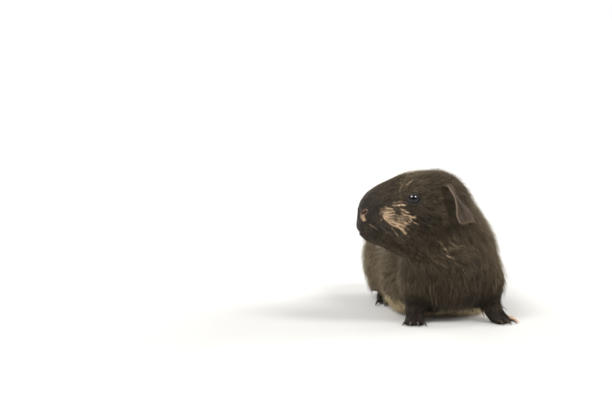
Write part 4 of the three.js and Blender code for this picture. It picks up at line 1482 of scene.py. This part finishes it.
def ear(side, material):
    """A thin drooping leaf with a rolled front rim, a domed rear lobe and a wavy hem."""
    sheet, normal, a, b = ear_sheet(side)
    edge = np.minimum(np.minimum(b, 1 - b) * 9.0, (1 - a) * 14.0)
    thick = mix(*EAR_THICK, a) * np.sqrt(np.clip(1 - (1 - np.clip(edge, 0, 1)) ** 2, 0.03, 1))
    roll = smoothstep(0.08, 0.2, a) * smoothstep(0, 0.04, 1 - a) * np.clip(b * 20, 0, 1)
    thick += 0.7 * bell(b - 0.05, 0.07) * roll
    # The pale rim, along the edges and the fold, is partly the ear's own paler edge and partly painted
    # highlight where thin edges catch the light.
    rim = np.maximum(np.maximum(bell(b, 0.06), bell(1 - b, 0.07)), bell(1 - a, 0.04))
    rim = np.clip(rim + 0.35 * bell(b - 0.40, 0.05) * smoothstep(0.5, 0.65, a), 0, 1)
    outer = sheet + normal * thick[..., None] / 2
    inner = sheet - normal * thick[..., None] / 2
    rings = np.concatenate((outer, inner[:, ::-1]), axis=1)
    count = rings.shape[1]
    points = rings.reshape(-1, 3)
    points = points + unit(points - points.mean(axis=0)) * (ripple(points, 2.6, 21) * 0.09)[:, None]
    faces = ring_faces(EAR_ROWS, count, False)
    for row in (0, (EAR_ROWS - 1) * count):
        last = row + count - 1
        faces += [(row + s, row + s + 1, last - 1 - s, last - s) for s in range(EAR_COLUMNS - 1)]
    # Painted shade: the inner face of the ear, towards the head, and its root are darkened.
    hollow = np.concatenate((0.0 * b, 0.75 + 0.0 * b), axis=1)
    hollow = np.maximum(hollow, (1 - smoothstep(0.08, 0.15, np.concatenate((a, a), axis=1))) * 0.8)
    marks = {"rim": np.concatenate((rim, rim[:, ::-1]), axis=1).ravel(), "hollow": hollow.ravel()}
    return closed_piece(f"ear_flap_{side}", list(points), faces, material, marks)


def ear_fuzz(side, growth):
    """Very short fine hairs all over the outside of an ear, lying towards its hem."""
    sheet, normal, a, b = ear_sheet(side)
    down = unit(np.gradient(sheet, axis=0))
    first = int(EAR_ROWS * 0.16)
    keep = (slice(first, None), slice(None))
    rows = EAR_ROWS - first
    points = (sheet + normal * mix(*EAR_THICK, a)[..., None] * 0.42)[keep].reshape(-1, 3)
    grid = np.arange(rows * EAR_COLUMNS).reshape(rows, EAR_COLUMNS)
    quads = np.stack((grid[:-1, :-1], grid[1:, :-1], grid[1:, 1:], grid[:-1, 1:]), axis=-1).reshape(-1, 4)
    marks = {"lie": (down + normal * 0.42)[keep].reshape(-1, 3), "rise": -normal[keep].reshape(-1, 3),
             "size": np.ones(rows * EAR_COLUMNS), "root_u": b[keep].ravel(), "root_v": a[keep].ravel()}
    surface = mesh_object("ear surface", points, quads, None, marks)
    density = 9.0
    return growth.run(f"ear_fuzz_{side}", surface, Length=1.3 * MM, Width=0.045 * MM, Bend=0.25,
                      Density=density / MM ** 2, Seed=11)


PALE_CLAW_SCALE = 1.5        # the outer claw of the left forefoot, which is larger than the others


def claws(foot, toes, side, material):
    """The claws of one foot, rounded from the CAD claws."""
    names = [f"{foot}claw_{side}_{n}" for n in range(1, toes + 1)]
    heel = middle(f"{foot}foot_{side}")
    points, triangles, along, pale = [], [], [], []
    start = 0
    for number, name in enumerate(names):
        mesh = with_modifier(joined([name], 0.06), "SUBSURF", levels=2, render_levels=2)
        spots, faces = mesh_arrays(mesh)
        bpy.data.meshes.remove(mesh)
        reach = (spots - heel) @ unit((middle(name) - heel) * (1, 1, 0))
        light = foot == "fore" and side == "left" and number == toes - 1
        if light:
            tip = spots[np.argmax(reach)]
            spots = tip + (spots - tip) * PALE_CLAW_SCALE
            spots[:, 2] = np.maximum(spots[:, 2], FLOOR_GAP)
        along.append((reach - reach.min()) / np.ptp(reach))
        pale.append(np.full(len(spots), 0.95 if light else 0.04))
        points.append(spots)
        triangles.append(faces + start)
        start += len(spots)
    thing = mesh_object(f"{foot}claws_{side}", np.concatenate(points), np.concatenate(triangles), material,
                        {"along": np.concatenate(along), "pale": np.concatenate(pale)})
    return thing, names


# ---------------------------------------------------------------- the whole animal

def finished(piece, nodes=()):
    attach(piece, "root")
    if nodes:
        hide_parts(*nodes)
    return piece


def unwrap(thing):
    """A map of the skin's own shape, and its places at each triangle's corners."""
    bpy.context.view_layer.objects.active = thing
    thing.select_set(True)
    thing.data.uv_layers.new(name="OFBake")
    bpy.ops.object.mode_set(mode="EDIT")
    bpy.ops.mesh.select_all(action="SELECT")
    bpy.ops.uv.smart_project(angle_limit=math.radians(72), island_margin=0.001)
    bpy.ops.object.mode_set(mode="OBJECT")
    thing.select_set(False)
    uv = np.empty(len(thing.data.loops) * 2, np.float32)
    thing.data.uv_layers["OFBake"].data.foreach_get("uv", uv)
    return uv.reshape(-1, 3, 2).astype(float)


def build_floor():
    shape = bmesh.new()
    bmesh.ops.create_grid(shape, x_segments=8, y_segments=8, size=FLOOR_HALF)
    mesh = bpy.data.meshes.new("studio_floor")
    shape.to_mesh(mesh)
    shape.free()
    mesh.materials.append(floor_finish())
    placed("studio_floor", mesh)


def build():
    studio()
    build_floor()
    points, triangles, sculpted = build_skin()
    marks = {**markings(points), **sculpted, "foot": foot_mask(points)}
    skin = mesh_object("skin", points, triangles, skin_finish(), marks)
    coat = Coat(points, triangles, unwrap(skin), coat_finish())
    finished(skin, FLESH)
    for piece in build_coat(coat):
        finished(piece)
    whisker_growth = Growth("whiskers", hair_finish("whisker", *WHISKER))
    lash_growth = Growth("lashes", hair_finish("lash", *LASH))
    fuzz_growth = Growth("ear fuzz", hair_finish("ear hair", *EAR_HAIR), spread=True)
    eye_look, lid_look, ear_look, horn = eye_finish(), lid_finish(), ear_finish(), claw_finish()
    for side in SIDES:
        finished(whiskers(coat, side, whisker_growth))
        finished(lashes(coat, side, lash_growth))
        finished(eyeball(side, eye_look), [f"eye_{side}"])
        finished(eyelids(side, lid_look))
        finished(ear(side, ear_look), [f"ear_{side}"])
        finished(ear_fuzz(side, fuzz_growth))
        for foot, toes in (("fore", 4), ("hind", 3)):
            piece, names = claws(foot, toes, side, horn)
            finished(piece, names)


build()
